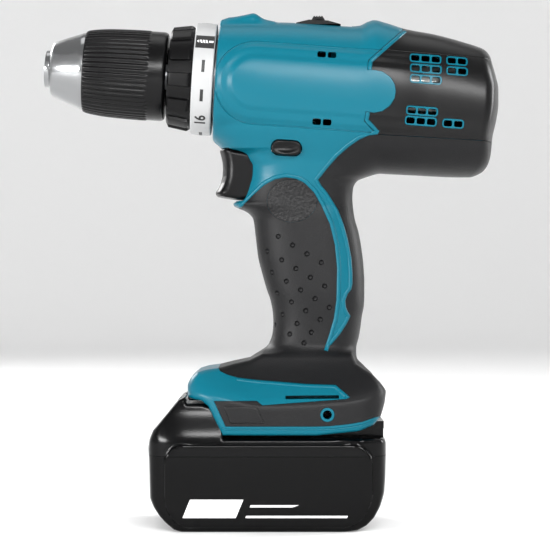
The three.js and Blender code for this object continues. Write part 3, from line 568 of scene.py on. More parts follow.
def add_grain(material, scale, height, detail=3.0):
    """A fine moulded grain: noise in the part's own space that bumps the surface."""
    nodes, links = material.node_tree.nodes, material.node_tree.links
    place = nodes.new("ShaderNodeTexCoord")
    noise = nodes.new("ShaderNodeTexNoise")
    noise.inputs["Scale"].default_value = scale
    noise.inputs["Detail"].default_value = detail
    bump = nodes.new("ShaderNodeBump")
    bump.inputs["Strength"].default_value = 1.0
    bump.inputs["Distance"].default_value = height
    links.new(place.outputs["Object"], noise.inputs["Vector"])
    links.new(noise.outputs["Fac"], bump.inputs["Height"])
    links.new(bump.outputs["Normal"], nodes["Principled BSDF"].inputs["Normal"])


def coated(thing, look):
    """Gives a piece one material, which is made the first time it is asked for."""
    if look not in MADE:
        MADE[look] = new_material(look, **FINISHES[look])
    thing.data.materials.clear()
    thing.data.materials.append(MADE[look])
    return thing


def finished(thing, look, slot, body_name, *nodes):
    """Gives a piece its finish and its body, and hides the CAD nodes that it stands for."""
    coated(thing, look)
    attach(thing, body_name)
    if nodes:
        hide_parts(*nodes)
    return thing


# ---- edges on the side view ----

# the rear cover: from the top, round the tongue, to the point above the handle, and back along the seam
COVER_EDGE = [
    (60.2, 250), (60.2, 233.6), (43.2, 217.9), (42.6, 213.4), (46.2, 213.3), (49.8, 212.5), (53.3, 210),
    (55.3, 206.6), (55.8, 203.4), (55.2, 200.1), (53, 196.6), (49.6, 194.2), (45.8, 193.4), (41.9, 194),
    (41.2, 189.8), (46.6, 184.3), (47.6, 183.95), (101, 180.95), (130, 179.35), (130, 250),
]
# the grip: along the palm's top edge, round the swept strip, up its back to the seam, and over the foot
GRIP_EDGE = [
    (-34, 150.3), (-16, 150.3), (-13, 153.4), (-9.9, 156.5), (-4.9, 160.9), (0, 163.4), (4.9, 164.3),
    (9.8, 163.6), (13.7, 161.7), (18.2, 157.3), (21.6, 151.4), (25.6, 142.6), (28, 132.8), (29, 121.9),
    (28.7, 107.2), (27.5, 98.4), (25.3, 90.8), (22.9, 83.6), (26.5, 86.1), (30.5, 90.9), (33.5, 95.4),
    (35.6, 99.4), (34.3, 101.4), (33.4, 103.4), (33, 106.7), (34.2, 109.9), (36, 112.1), (36.5, 114.8),
    (36.5, 120), (36, 126.9), (34.5, 134.8), (32.5, 142.2), (29.6, 149.5), (24.6, 157.3), (21.6, 160.7),
    (20.2, 163.2), (21.6, 164.8), (24.5, 168.5), (29.3, 173.8), (34.2, 178), (39, 181.3), (43.6, 183.2),
    (47.6, 183.7), (101, 180.7), (130, 179.1), (130, 120), (70, 60), (54, 54), (46.3, 53.4), (40, 51.4),
    (33.7, 50.4), (26, 49.6), (19.2, 49.3), (-22.6, 49.3), (-27.9, 60.8), (-8.4, 60.8), (-5.8, 58.8),
    (32.7, 61.7), (34.6, 62.6), (28.1, 68.1), (14.6, 68.5), (0, 69.6), (-9, 70.3), (-17.5, 71.4),
    (-22, 72.7), (-25.3, 74.2), (-28, 78), (-34, 80),
]
PALM_RIDGE = [(-16, 150.3), *GRIP_EDGE[2:18]]
SWEEP_RIDGE = GRIP_EDGE[18:43]
FOOT_RIDGE = GRIP_EDGE[-11:-4]
RIDGES = (PALM_RIDGE, SWEEP_RIDGE, COVER_EDGE[1:4], COVER_EDGE[13:17], FOOT_RIDGE)
RIDGE_HALF, RIDGE_RISE, RIDGE_SINK = 1.0, 0.62, 0.12

TRIGGER_OPENING = [
    (-34, 178.8), (-17, 178.7), (-6, 176.9), (-1.5, 174.9), (6, 174.9), (6, 153.8), (-14, 153.7),
    (-34, 153.7),
]
TRIGGER_HALF = 11.2
LED_CENTRE, LED_LEAN = (-24.6, 183), 62

BADGE_CORE = ((-8.8, 208), (60, 202.7))
BADGE_RADIUS = 19.2
BADGE_RISE = through([[0, 0], [0.6, 0.05], [3.2, 0.8], [5.6, 0.85], [8.2, 1.6], [10, 1.65]])
BADGE_FADE = (56, 72)

AXIS_LEAN = -math.degrees(math.atan2(NOSEWARD.z, -NOSEWARD.x))
HOLE_WIDTH, HOLE_HEIGHT, HOLE_RIB, VENT_RIM = 4.0, 2.9, 0.8, 0.65
REAR_VENTS = [
    (69.8, 219, 3), (69.8, 214.1, 3), (69.7, 209.1, 3), (84.5, 218.1, 2), (84.4, 213.2, 2),
    (67.9, 194.4, 3), (67.4, 189.8, 3), (82.4, 188.7, 2),
]
SIDE_VENTS = [(24, 220.7, 2), (21.7, 189.5, 2)]
SKIN, WALL = 1.6, 3.2
OUTER_CELL, SKIN_CELL, WALL_CELL = 0.7, 1.2, 1.4
HOLLOW_FLOOR = 84
HOUSE_LOW, HOUSE_BACK, HOUSE_TOP = (-44, -42, 42), 110, 246

DENT_STEP, DENT_RADIUS, DENT_LIFT = (6.7, -4.1), 1.3, 0.25
DENT_ROWS = [
    (1.5, 136.8, 4), (-3.6, 129.9, 5), (-1.4, 119.9, 5), (1, 110.2, 4), (3.6, 100.1, 3), (0.2, 95.1, 3),
]
HOOK_HOLE, HOOK_RADIUS, HOOK_RIM = (24, 54.6), 2.1, 3.2


def badge_rise(x, z):
    """How far the side stands out for the stepped panel round the badge."""
    inward = BADGE_RADIUS - off_line(x, z, *BADGE_CORE)
    return BADGE_RISE(inward) * (1 - smoothstep(x, *BADGE_FADE))


def raised(x, y, z):
    """The outer form with the raised panel on each side."""
    return body(x, y, z) - badge_rise(x, z)


def vent_row(centre_x, centre_z, count):
    """The outlines of a row's holes and of the rim round them."""
    pitch = HOLE_WIDTH + HOLE_RIB
    length = count * pitch - HOLE_RIB
    middle = (centre_x, centre_z)
    holes = []
    for i in range(count):
        offset = (i - (count - 1) / 2) * pitch
        hole = [(x + offset, z) for x, z in bar(HOLE_WIDTH, HOLE_HEIGHT, 1)]
        holes.append(tilted(hole, middle, AXIS_LEAN))
    rim = bar(length + 2 * VENT_RIM, HOLE_HEIGHT + 2 * VENT_RIM, 1.7)
    return holes, tilted(rim, middle, AXIS_LEAN)


def side_tool(outline):
    """A cutter through the left side only."""
    return prism(outline, -FAR, 2)


def rod(centre, along, radius, start, end, count=40):
    """A rod through a point: from one distance to another along its axis."""
    along = np.array(along, float)
    across = np.cross(along, (0, 1, 0) if abs(along[1]) < 0.9 else (1, 0, 0))
    across /= np.linalg.norm(across)
    upward = np.cross(along, across)
    turns = np.arange(count) * 2 * math.pi / count
    ring = radius * (np.cos(turns)[:, None] * across + np.sin(turns)[:, None] * upward)
    points = np.concatenate([np.array(centre) + along * end_at + ring for end_at in (start, end)])
    ends = [list(range(count)), list(range(count, 2 * count))[::-1]]
    return piece("tool", points, [face[::-1] for face in bands(0, 2, count) + ends])


def led_rod(radius, length):
    """A rod on the work light's axis."""
    lean = math.radians(LED_LEAN)
    along = (-math.sin(lean), 0, -math.cos(lean))
    return rod((LED_CENTRE[0], 0, LED_CENTRE[1]), along, radius, -length / 2, length / 2)


def balls(centres, radius, around=20, rings=10):
    """One piece holding a ball at each of some points apart from each other."""
    points, faces = [], []
    for centre in centres:
        first = len(points)
        points.append(centre + np.array([0, 0, radius]))
        for r in range(1, rings):
            polar = math.pi * r / rings
            for k in range(around):
                turn = 2 * math.pi * k / around
                way = (math.sin(polar) * math.cos(turn), math.sin(polar) * math.sin(turn), math.cos(polar))
                points.append(centre + radius * np.array(way))
        points.append(centre - np.array([0, 0, radius]))
        last = len(points) - 1
        for k in range(around):
            after = (k + 1) % around
            faces.append([first, first + 1 + k, first + 1 + after])
            faces.append([last - around + after, last - around + k, last])
        faces += bands(first + 1, rings - 1, around)
    return piece("tool", points, faces)


def left_half(name, form, past, cell):
    """The left half of a form, and a little past the parting plane."""
    def field(x, y, z):
        return np.maximum(form(x, y, z), y - past)

    return carved(name, field, HOUSE_LOW, (HOUSE_BACK, past + 2, HOUSE_TOP), cell)


def sunk_solid(depth, cell, lowest):
    """The left half, shrunk on every side by a depth."""
    return left_half("tool", lambda x, y, z: np.maximum(body(x, y, z) + depth, lowest - z), 3, cell)


# ---- the housing's pieces ----

SLOT_GAP = 0.15
BUTTON_CENTRE, BUTTON_LENGTH, BUTTON_HEIGHT, BUTTON_GAP = (5.3, 177.9), 14.0, 6.8, 0.35
SWITCH_SLOT = (9.4, 36.6, -9.1, 2, 228, 250)
THUMB_CENTRE, THUMB_HALF = (7.9, 153.4), (11.6, 9.9)
LED_HOLE, HUB_HOLE = 2.75, 18.4
PAD = [(-23.6, 58.3), (-8.4, 58.3), (-5, 50.6), (-20.4, 50.6)]
PAD_RISE, PAD_EDGE = 0.6, 0.4
FOOT_SLOT = [(4.8, 61.6), (29.4, 61.9), (29.4, 63.5), (4.8, 63.2)]
FOOT_BAND = [(-24.6, 48.4), (-22, 47.7), (19, 47.7), (27, 48), (34, 48.8), (40, 49.8), (46, 51.7), (52, 55)]
COVER_CREASE = [(52, 223.2), (94, 220.4), (108, 219.5)]
GROOVE, BADGE_GROOVE, CREASE = (0.5, 0.5), (0.42, 0.5), (0.35, 0.4)
BADGE_REACH = (57.5, 55)
SCREW_RADIUS = 3.2
SCREWS = [(22, 180, 17), (90, 174.5, 17), (40, 230, 17), (6, 112, 11), (30, 152, 11)]


def button_outline(extra):
    shape = stadium(BUTTON_LENGTH + 2 * extra, BUTTON_HEIGHT + 2 * extra)
    return tilted(shape, BUTTON_CENTRE, AXIS_LEAN)


def trigger_hole():
    return prism(TRIGGER_OPENING, -TRIGGER_HALF - 0.5, 2)


def seat(edge, floor, islands):
    """The cutter that sinks a moulded-on skin into the shell, leaving islands."""
    tool = cut(side_tool(grown(edge, SLOT_GAP)), copied(floor, "tool"))
    return cut(tool, *[side_tool(island) for island in islands])


def foot_ways():
    """Cutters for the battery's rails, its front block, the terminals and the latch."""
    return [
        block(-FAR, FAR, -23.9, 2, 47, 51.4),
        block(-FAR, FAR, -19.7, 2, 30, 48),
        block(-FAR, -22.6, -33, 2, 30, 60),
        block(3.4, 34.6, -16.5, 2, 50, 58),
        block(5.4, 30.6, -12.6, 2, 57, 62.6),
        block(-37.6, -27.4, -8.4, 2, 55, 64.4),
    ]


def shell_left(outer, floor):
    shell = copied(outer, "shell_left")
    rims = [vent_row(*row)[1] for row in REAR_VENTS]
    cut(shell, seat(COVER_EDGE, floor, rims), seat(GRIP_EDGE, floor, [circle(*HOOK_HOLE, HOOK_RIM)]))
    for line in RIDGES:
        join(shell, *ridge(line))
    cut(shell, sunk_solid(WALL, WALL_CELL, HOLLOW_FLOOR))
    cut(shell, trigger_hole(), side_tool(button_outline(BUTTON_GAP)), led_rod(LED_HOLE, 14))
    cut(shell, rod(HUB_ON_SHEET, NOSEWARD, HUB_HOLE, -8, 8, 64), *foot_ways())
    cut(shell, *[prism(hole, -FAR, -12) for row in REAR_VENTS + SIDE_VENTS for hole in vent_row(*row)[0]])
    cut(shell, side_tool(circle(*HOOK_HOLE, HOOK_RADIUS)), prism(FOOT_SLOT, -FAR, -26))
    cut(shell, *strips(FOOT_BAND, *GROOVE), *strips(badge_line(), *BADGE_GROOVE))
    return cut(shell, block(*SWITCH_SLOT))


def ridge(line):
    """A raised edge outside a moulded-on skin."""
    return strips(beside(line, RIDGE_HALF), RIDGE_HALF, RIDGE_RISE, RIDGE_SINK)


def beside(line, distance):
    """An open line moved to its left by a distance."""
    points = [Vector(point) for point in line]
    result = []
    for i, here in enumerate(points):
        before = (here - points[max(i - 1, 0)]).normalized()
        after = (points[min(i + 1, len(points) - 1)] - here).normalized()
        along = (before + after).normalized()
        reach = distance / max(along.dot(after if after.length else before), 0.6)
        result.append((here.x - along.y * reach, here.y + along.x * reach))
    return result


def badge_line():
    """The outline of the panel round the badge: two leaning lines and the round end between them."""
    (x0, z0), (x1, z1) = BADGE_CORE
    lean = math.atan2(z1 - z0, x1 - x0)
    turns = [lean + math.pi / 2 + math.pi * i / 40 for i in range(41)]
    end = [(x0 + BADGE_RADIUS * math.cos(t), z0 + BADGE_RADIUS * math.sin(t)) for t in turns]
    dx, dz = math.cos(lean), math.sin(lean)
    top, bottom = [(x + run * dx, z + run * dz) for (x, z), run in zip((end[0], end[-1]), BADGE_REACH)]
    return [top, *end, bottom]


def cover_left(outer, floor):
    cover = common(copied(outer, "cover_left"), side_tool(COVER_EDGE))
    cut(cover, copied(floor, "tool"))
    cut(cover, *[side_tool(grown(vent_row(*row)[1], SLOT_GAP)) for row in REAR_VENTS])
    return cut(cover, *strips(COVER_CREASE, *CREASE))


def dent_centres():
    flat = [(x + i * DENT_STEP[0], z + i * DENT_STEP[1]) for x, z, count in DENT_ROWS for i in range(count)]
    x, z = np.array(flat).T
    centres = np.stack([x, -depth_of_body(x, z), z], axis=1)
    return centres + DENT_LIFT * unit(slope_of(body, centres))


def grip_left(outer, floor):
    grip = common(copied(outer, "soft_left"), side_tool(GRIP_EDGE))
    cut(grip, copied(floor, "tool"), trigger_hole(), balls(dent_centres(), DENT_RADIUS))
    cut(grip, side_tool(circle(*HOOK_HOLE, HOOK_RIM + SLOT_GAP)), side_tool(thumb_oval(SLOT_GAP)))
    cut(grip, *foot_ways())
    return join(grip, pad())


def thumb_oval(extra):
    """The oval rest for the thumb at the top of the palm."""
    turns = [2 * math.pi * i / 48 for i in range(48)]
    (x, z), (wide, high) = THUMB_CENTRE, THUMB_HALF
    return [(x + (wide + extra) * math.cos(t), z + (high + extra) * math.sin(t)) for t in turns]


def thumb_left(outer, floor):
    patch = common(copied(outer, "thumb_left"), side_tool(thumb_oval(0)))
    return cut(patch, copied(floor, "tool"))


def pad():
    """The raised plate low on the foot's side."""
    side = outlined(PAD)

    def field(x, y, z):
        return np.maximum(both(side(x, z), raised(x, y, z) - PAD_RISE, PAD_EDGE), y + 30)

    return carved("tool", field, (-27, -42, 47), (-2, -28, 62), 0.5)


def trimmed(thing):
    """Cut flat at the parting plane."""
    return common(thing, block(-FAR, 2 * FAR, -FAR, -SEAM, 0, 5 * FAR))


def build_housing():
    outer = left_half("outer", raised, 1.5, OUTER_CELL)
    floor = sunk_solid(SKIN, SKIN_CELL, 0)
    made = {
        "shell": (shell_left(outer, floor), "teal_shell", "teal_shell", "housing"),
        "cover": (cover_left(outer, floor), "black_cover", "black_cover", "motor_cover"),
        "soft": (grip_left(outer, floor), "grip_rubber", "grip_rubber", "grip"),
        "thumb": (thumb_left(outer, floor), "thumb_leather", "grip_rubber", "grip"),
    }
    for spare in (outer, floor):
        bpy.data.objects.remove(spare)
    for name, (left, look, slot, node) in made.items():
        trimmed(left)
        right = mirrored(left, f"{name}_right")
        cut(right, *screw_holes())
        for side, thing in (("left", left), ("right", right)):
            finished(smooth(thing), look, slot, "housing", f"{node}_{side}")


def screw_holes():
    """Wells for the screws, from the right side."""
    return [rod((x, 0, z), (0, 1, 0), SCREW_RADIUS, floor, FAR) for x, z, floor in SCREWS]


# ---- turned pieces on the drive's axis ----
# angles run from the near side downwards, in degrees; stations run from the housing's face to the nose

NEAR = np.array([0.0, -1.0, 0.0])
DOWN = np.array([-NOSEWARD.z, 0.0, NOSEWARD.x])

CHUCK_SECTION = [
    (6.3, 24.8), (17.7, 24.9), (18.2, 25.4), (18.2, 46.4), (13.2, 46.4), (13.2, 55.6), (18.2, 55.6),
    (18.2, 63.2), (18.1, 64.1), (17.6, 65.2), (15.4, 71.2), (13.1, 76.9), (12.6, 77.6), (11.8, 78.1),
    (10, 78.5), (9.2, 78.7), (8.8, 79.1), (8.8, 80.7), (8.6, 81.1), (8.2, 81.2), (7.5, 81.2), (7, 80.7),
    (7, 43.5), (6.3, 43.5),
]
JAW_STATION, JAW_ORBIT, JAW_SLOPE, JAW_BORE = 68, 7.6, 13, 3.45
RIBS, RIB_FROM, RIB_TO, RIB_RISE, RIB_FLOOR = 54, 32.1, 61.9, 0.5, 18.3
SLEEVE_RADIUS = through([[24, 21.1], [34, 21.1], [50, 20.7], [58, 19.9], [63.3, 18.9]])
SLEEVE_NOSE = [(19.3, 26), (19.3, 61.4), (18.5, 61.8), (18.4, 62.2), (18.6, 62.5), (19, 62.45)]
SLEEVE_REAR = [
    (21.1, 28), (21.1, 25.6), (20.9, 24.6), (20.4, 23.9), (19.8, 23.6), (14, 23.6), (14, 24.5),
    (19.3, 24.6),
]
BLOCKS, BLOCK_HALF, BLOCK_TURN, BLOCK_RISE, BLOCK_FLOOR = 12, 7.4, 7.0, 1.35, 22
RING_SLOPE = 0.16
RING_FRONT = [(20.4, 10.9), (23.7, 10.9), (24, 11.2)]
RING_REAR = [(22.3, 21.8), (22.2, 22.1), (21.9, 22.3), (14.4, 22.3), (14, 21.9), (14, 19.9), (20.4, 19.9)]
DIAL_RADIUS, DIAL_MIDDLE = 26.5, 5.6
DIAL_SECTION = [
    (20.4, 0.8), (25.8, 0.8), (26.2, 0.9), (26.45, 1.2), (26.5, 1.6), (26.5, 9.8), (26.4, 10.2),
    (26.1, 10.5), (25.7, 10.6), (20.4, 10.6),
]
MARK_TURN, MARK_STEP, MARK_SINK, MARK_RISE = 6.5, 0.8, 0.05, 0.05
NUMBER_SIZE, NUMBER_WEIGHT, NUMBER_SPACING = 7.0, 0.17, 0.92
NUMBERS = {"16": 45, "12": 105, "8": 165, "4": 225, "1": 270}
DASHES = [-15, 15, 75, 90, 135, 150, 195, 210, 255]
DASH = [(-2.9, -0.75), (2.9, -0.75), (2.9, 0.75), (-2.9, 0.75)]
BIT_ANGLE, BIT_RISE = -36.5, 0.1
BIT_GROUND = [(-3.9, -4.4), (3.9, -4.4), (3.9, 4.4), (-3.9, 4.4)]


def on_drive(angle, radius, station):
    """Places round the drive's axis, on the sheet."""
    turn = np.radians(angle)[..., None]
    way = np.cos(turn) * NEAR + np.sin(turn) * DOWN
    out, ahead = np.asarray(radius)[..., None], np.asarray(station)[..., None]
    return HUB_ON_SHEET + way * out + ahead * np.array(NOSEWARD)


def turned(name, section, around, reshaped=None):
    """A closed section of (radius, station) corners turned about the drive's axis."""
    radius, station = np.array(section, float).T
    angle = np.arange(around)[:, None] * 360 / around
    shape = (around, len(section))
    radii = reshaped(angle, station, radius) if reshaped else radius
    points = on_drive(*[np.broadcast_to(part, shape) for part in (angle, radii, station)])
    count, flipped = len(section), runs_left(section)
    faces = []
    for i in range(around):
        here, there = i * count, (i + 1) % around * count
        for k in range(count):
            after = (k + 1) % count
            face = [here + k, here + after, there + after, there + k]
            faces.append(face[::-1] if flipped else face)
    return piece(name, points.reshape(-1, 3), faces)


def ribbed(angle, station, radius):
    """The sleeve's ribs, which fade out at both of their ends."""
    wave = np.cos(np.radians(angle) * RIBS)
    start = smoothstep(station, RIB_FROM - 0.5, RIB_FROM + 0.5)
    along = start * (1 - smoothstep(station, RIB_TO - 0.6, RIB_TO + 0.4))
    return radius + RIB_RISE * along * (radius > RIB_FLOOR) * (smoothstep(wave, -0.75, 0.55) - 0.5)


def blocked(angle, station, radius):
    """The torque ring's finger blocks."""
    pitch = 360 / BLOCKS
    off = np.abs((angle - BLOCK_TURN + pitch / 2) % pitch - pitch / 2)
    across = 1 - smoothstep(off, BLOCK_HALF - 0.5, BLOCK_HALF + 0.6)
    along = smoothstep(station, 10.9, 12.9) * (1 - smoothstep(station, 21.3, 22.1))
    return radius + BLOCK_RISE * across * along * (radius > BLOCK_FLOOR)


def jaw_bore(k):
    """The cutter for one jaw's slanting bore."""
    angle = np.array(k * 120 - 90.0)
    tilt = math.radians(JAW_SLOPE)
    tip = on_drive(angle, JAW_ORBIT, JAW_STATION)
    outward = on_drive(angle, 1, 0) - HUB_ON_SHEET
    along = np.array(NOSEWARD) * math.cos(tilt) - outward * math.sin(tilt)
    return rod(tip, along, JAW_BORE, -29, 40)


def build_chuck():
    chuck = turned("chuck_shell", CHUCK_SECTION, 120)
    cut(chuck, *[jaw_bore(k) for k in range(3)])
    finished(smooth(chuck, 30), "turned_steel", "chuck_steel", "spindle", "chuck_body")
    run = np.linspace(RIB_TO + 0.2, RIB_FROM - 1, 44)
    outside = [(float(SLEEVE_RADIUS(u)), float(u)) for u in run]
    sleeve = turned("grip_sleeve", SLEEVE_NOSE + outside + SLEEVE_REAR, RIBS * 8, ribbed)
    finished(smooth(sleeve, 50), "sleeve_black", "black_sleeve", "chuck_sleeve", "chuck_sleeve")


def build_torque_ring():
    run = np.linspace(11.7, 21.4, 24)
    outside = [(24 - (u - 11.2) * RING_SLOPE, float(u)) for u in run]
    ring = turned("clutch_collar", RING_FRONT + outside + RING_REAR, 360, blocked)
    finished(smooth(ring, 44), "black_plastic", "black_plastic", "torque_ring", "torque_ring")
    dial = turned("clutch_dial", DIAL_SECTION, 180)
    finished(smooth(dial), "dial_silver", "dial_face", "torque_ring", "torque_dial")
    marks = [lettered(text, angle + MARK_TURN) for text, angle in NUMBERS.items()]
    marks += [wrapped([DASH], angle + MARK_TURN, MARK_RISE) for angle in DASHES]
    finished(merged("dial_marks", marks), "dial_ink", "dial_face", "torque_ring")
    band = wrapped([BIT_GROUND], BIT_ANGLE, MARK_RISE)
    band.name = "dial_band"
    finished(band, "dial_ink", "dial_face", "torque_ring")
    bit = wrapped(bit_outlines(), BIT_ANGLE, BIT_RISE)
    bit.name = "dial_bit"
    finished(bit, "white_ink", "dial_face", "torque_ring")


def bit_outlines():
    """A small drill bit pointing to the nose: a pointed end, slanting flutes and a shank."""
    tip = [(0, 3.9), (-0.9, 2.8), (0.9, 2.8)]
    flutes = [[(-0.9, y), (-0.9, y + 0.8), (0.9, y + 1.4), (0.9, y + 0.6)] for y in (1.1, -0.2, -1.5)]
    shank = [(-0.55, -3.9), (0.55, -3.9), (0.55, -1.9), (-0.55, -1.9)]
    return [tip, *flutes, shank]


def wrapped(outlines, angle, rise):
    """Flat outlines, across upwards and up towards the nose, laid round the dial."""
    mesh = bpy.data.meshes.new("flat")
    points = [(x, y, 0) for outline in outlines for x, y in outline]
    faces, first = [], 0
    for outline in outlines:
        faces.append(list(range(first, first + len(outline))))
        first += len(outline)
    mesh.from_pydata(points, [], faces)
    return bent(mesh, angle, rise)


def bent(mesh, angle, rise):
    """A flat mesh made into a thin plate round the dial."""
    form = bmesh.new()
    form.from_mesh(mesh)
    low = min(v.co.x for v in form.verts)
    high = max(v.co.x for v in form.verts)
    for x in np.arange(low + MARK_STEP, high, MARK_STEP):
        parts = [*form.verts, *form.edges, *form.faces]
        bmesh.ops.bisect_plane(form, geom=parts, plane_co=(x, 0, 0), plane_no=(1, 0, 0))
    for lifted in bmesh.ops.extrude_face_region(form, geom=form.faces[:])["geom"]:
        if isinstance(lifted, bmesh.types.BMVert):
            lifted.co.z = 1
    x, y, z = np.array([v.co[:] for v in form.verts]).T
    radius = DIAL_RADIUS - MARK_SINK + z * (MARK_SINK + rise)
    places = on_drive(angle - np.degrees(x / DIAL_RADIUS), radius, DIAL_MIDDLE + y)
    for vertex, place in zip(form.verts, in_frame(places)):
        vertex.co = place
    bmesh.ops.recalc_face_normals(form, faces=form.faces[:])
    return shaped("mark", form)


def shaped(name, form):
    """A new object from a bmesh, which it uses up."""
    mesh = bpy.data.meshes.new(name)
    form.to_mesh(mesh)
    form.free()
    return placed(name, mesh)


def lettered(text, angle):
    """A number laid round the dial, read upwards on the near side."""
    words = bpy.data.curves.new("words", "FONT")
    words.body, words.size, words.align_x, words.align_y = text, NUMBER_SIZE, "CENTER", "CENTER"
    words.offset, words.space_character = NUMBER_WEIGHT, NUMBER_SPACING
    holder = placed("words", words)
    flat = bpy.data.meshes.new_from_object(holder.evaluated_get(bpy.context.evaluated_depsgraph_get()))
    bpy.data.objects.remove(holder)
    return bent(flat, angle, MARK_RISE)


def merged(name, things):
    """Several pieces as one."""
    form = bmesh.new()
    for thing in things:
        form.from_mesh(thing.data)
        bpy.data.objects.remove(thing)
    return shaped(name, form)


# ---- trigger, buttons and work light ----

TRIGGER_SIDE = outlined([
    (-25.4, 178.4), (-20, 177.6), (-14, 176.6), (-8.5, 174.5), (-2.2, 174.2), (-2.2, 157), (-14, 154.3),
    (-20, 154.5), (-25.6, 155.4), (-27.4, 155.9), (-28.2, 157), (-28.1, 158.1), (-26.9, 159.9),
    (-25.8, 162.3), (-25, 165.5), (-24.8, 169), (-25, 172), (-25.6, 175), (-26.2, 177), (-26.2, 177.9),
])
TRIGGER_PLAN, TRIGGER_GAP, TRIGGER_EDGE = 0.028, 0.3, 2.4
PLUNGER, PLUNGER_SLOT = (-4, 0.6, -6, 6, 160, 172), (-9, 3, -2.8, 2.8, 163, 169)
BUTTON_SIDE = outlined(button_outline(0))
BUTTON_REACH = 24.4
DISH_RADIUS, DISH_OUT, DISH_STRETCH = 4.1, 3.2, 2.2
LENS_RADIUS, LENS_LENGTH = 2.45, 6
WEDGE = [(10, 237.9), (16, 239.3), (25, 238.9), (31, 237.2), (31, 234.2), (10, 234.2)]
KNOB = [(16.6, 238.2), (18.4, 241.4), (22.4, 241.4), (24.4, 238.2)]
WEDGE_HALF, KNOB_HALF = 8.5, 6
KNOB_GROOVES = (19.2, 20.4, 21.6)
SWITCH_TAB = (8, 11, -3.1, 3.1, 234, 236)


def trigger_form(x, y, z):
    """The finger lever, whose front is rounded across."""
    front = np.clip((-2 - x) / 12, 0, 1)
    side = TRIGGER_SIDE(x - TRIGGER_PLAN * y * y * front, z)
    return both(side, np.abs(y) - TRIGGER_HALF + TRIGGER_GAP, TRIGGER_EDGE)


def button_form(x, y, z):
    """The push button, with a dish in each end."""
    out = np.abs(y) - BUTTON_REACH
    across = np.hypot((x - BUTTON_CENTRE[0]) / DISH_STRETCH, z - BUTTON_CENTRE[1])
    dish = np.hypot(across, out - DISH_OUT) - DISH_RADIUS
    return both(both(BUTTON_SIDE(x, z), out, 0.8), -dish, 0.4)


def build_controls():
    finger = carved("finger_lever", trigger_form, (-30, -12.5, 152), (0, 12.5, 180), 0.5)
    join(finger, block(*PLUNGER))
    cut(finger, block(*PLUNGER_SLOT))
    finished(smooth(finger), "black_plastic", "black_plastic", "trigger", "trigger")
    x, half = BUTTON_CENTRE[0], BUTTON_LENGTH / 2
    push = carved("push_button", button_form, (x - half - 1, -25.5, 173), (x + half + 1, 25.5, 183), 0.45)
    finished(smooth(push), "black_plastic", "black_plastic", "direction_lever", "direction_lever")
    build_speed_lever()
    lamp = led_rod(LENS_RADIUS, LENS_LENGTH)
    lamp.name = "lamp_lens"
    finished(smooth(lamp), "clear_lens", "clear_lens", "housing", "led_lens")


def build_speed_lever():
    lever = prism(WEDGE, -WEDGE_HALF, WEDGE_HALF, "range_lever")
    join(lever, prism(rounded(KNOB, 0.5), -KNOB_HALF, KNOB_HALF))
    cut(lever, *[prism(circle(x, 241.5, 0.5, 12), -7, 7) for x in KNOB_GROOVES])
    join(lever, block(*SWITCH_TAB))
    finished(smooth(lever), "black_plastic", "black_plastic", "speed_lever")


# ---- battery ----

PACK_SIDE = outlined([
    (-56, 11.5), (-53, 7.4), (-50, 4.4), (-46.5, 1.6), (-43, 0.6), (32, 0.6), (38, 1.4), (42, 3.4),
    (45.6, 6.9), (48.6, 11.9), (50.9, 18), (51.7, 24), (52.3, 34), (52.3, 40.6), (51.2, 42.6), (49, 43.5),
    (-23.6, 43.5), (-23.6, 57), (-34, 59.4), (-40.9, 59.4), (-41.4, 62.6), (-42.3, 62), (-44.6, 61),
    (-56.3, 47), (-58.6, 42.2), (-59.6, 38.5), (-59, 33), (-58.2, 15.5),
])
PACK_CENTRE, PACK_HALF_X, PACK_HALF_Y = -3.65, 55.95, 36.7
PACK_POWER, PACK_EDGE, PACK_WALL = 7.5, 1.6, 2.4
PACK_LOW, PACK_BACK = (-61, -39, -1), 54
HOLLOW_TOP = 41.3
STEP_AT, NARROWING = -23.3, 4.6
PARTING, PARTING_GAP = 35.2, 0.16
PANEL = outlined(rounded([
    (-50.8, 12.6), (-46, 5), (-41, 2.6), (33, 2.6), (39.5, 5.4), (44.6, 14), (44.6, 35.4), (39.6, 40.6),
    (-45.8, 40.6), (-50.8, 35.4),
], 4))
PANEL_RISE, PANEL_EDGE = 0.8, 0.7
RAILS = [(-24, 50.6, -19.2, 19.2, 42.8, 50.8), (-24, 50.6, -23.4, 23.4, 47.4, 50.8)]
TERMINAL_ROWS = (-10, 0, 10)
LATCH_HALF, LATCH_GAP = 13, 0.4
LATCH_SIDE = [(-53.2, 50.6), (-44.8, 61), (-44, 61.5), (-42.2, 61.6), (-42.2, 50.6)]
LATCH_TONGUE = (-44, -29, -6, 6, 56.6, 58.9)
PLATE_CORNERS, PLATE_MARGIN = [(1.5, -0.3), (12, -0.3), (12, 0.1), (1.5, 0.1)], 2
LABEL_SINK, LABEL_RISE = 0.3, 0.04
LABELS = [
    [(-42.4, 7.3), (-18, 7.3), (-14.5, 15.7), (-39, 15.7)],
    [(-13.6, 7.3), (33, 7.3), (33.4, 8.3), (-13.2, 8.3)],
    [(-11.6, 12.2), (8, 12.2), (11, 13.2), (-11.2, 13.2)],
]


def pack(x, y, z):
    """The battery's outer form, which narrows towards its top."""
    ramp = np.where(x > STEP_AT, smoothstep(z, 42.5, 44.5), smoothstep(z, 40.5, 60))
    plan = oval(x - PACK_CENTRE, y, PACK_HALF_X, PACK_HALF_Y - NARROWING * ramp, PACK_POWER)
    return both(PACK_SIDE(x, z), plan, PACK_EDGE)


def pack_with_panel(x, y, z):
    side = both(PANEL(x, z), np.abs(y) - PACK_HALF_Y - PANEL_RISE, PANEL_EDGE)
    side = np.maximum(side, 20 - np.abs(y))
    return either(pack(x, y, z), side, 0.5)


def pack_hollow(x, y, z):
    return np.maximum(pack(x, y, z) + PACK_WALL, z - HOLLOW_TOP)


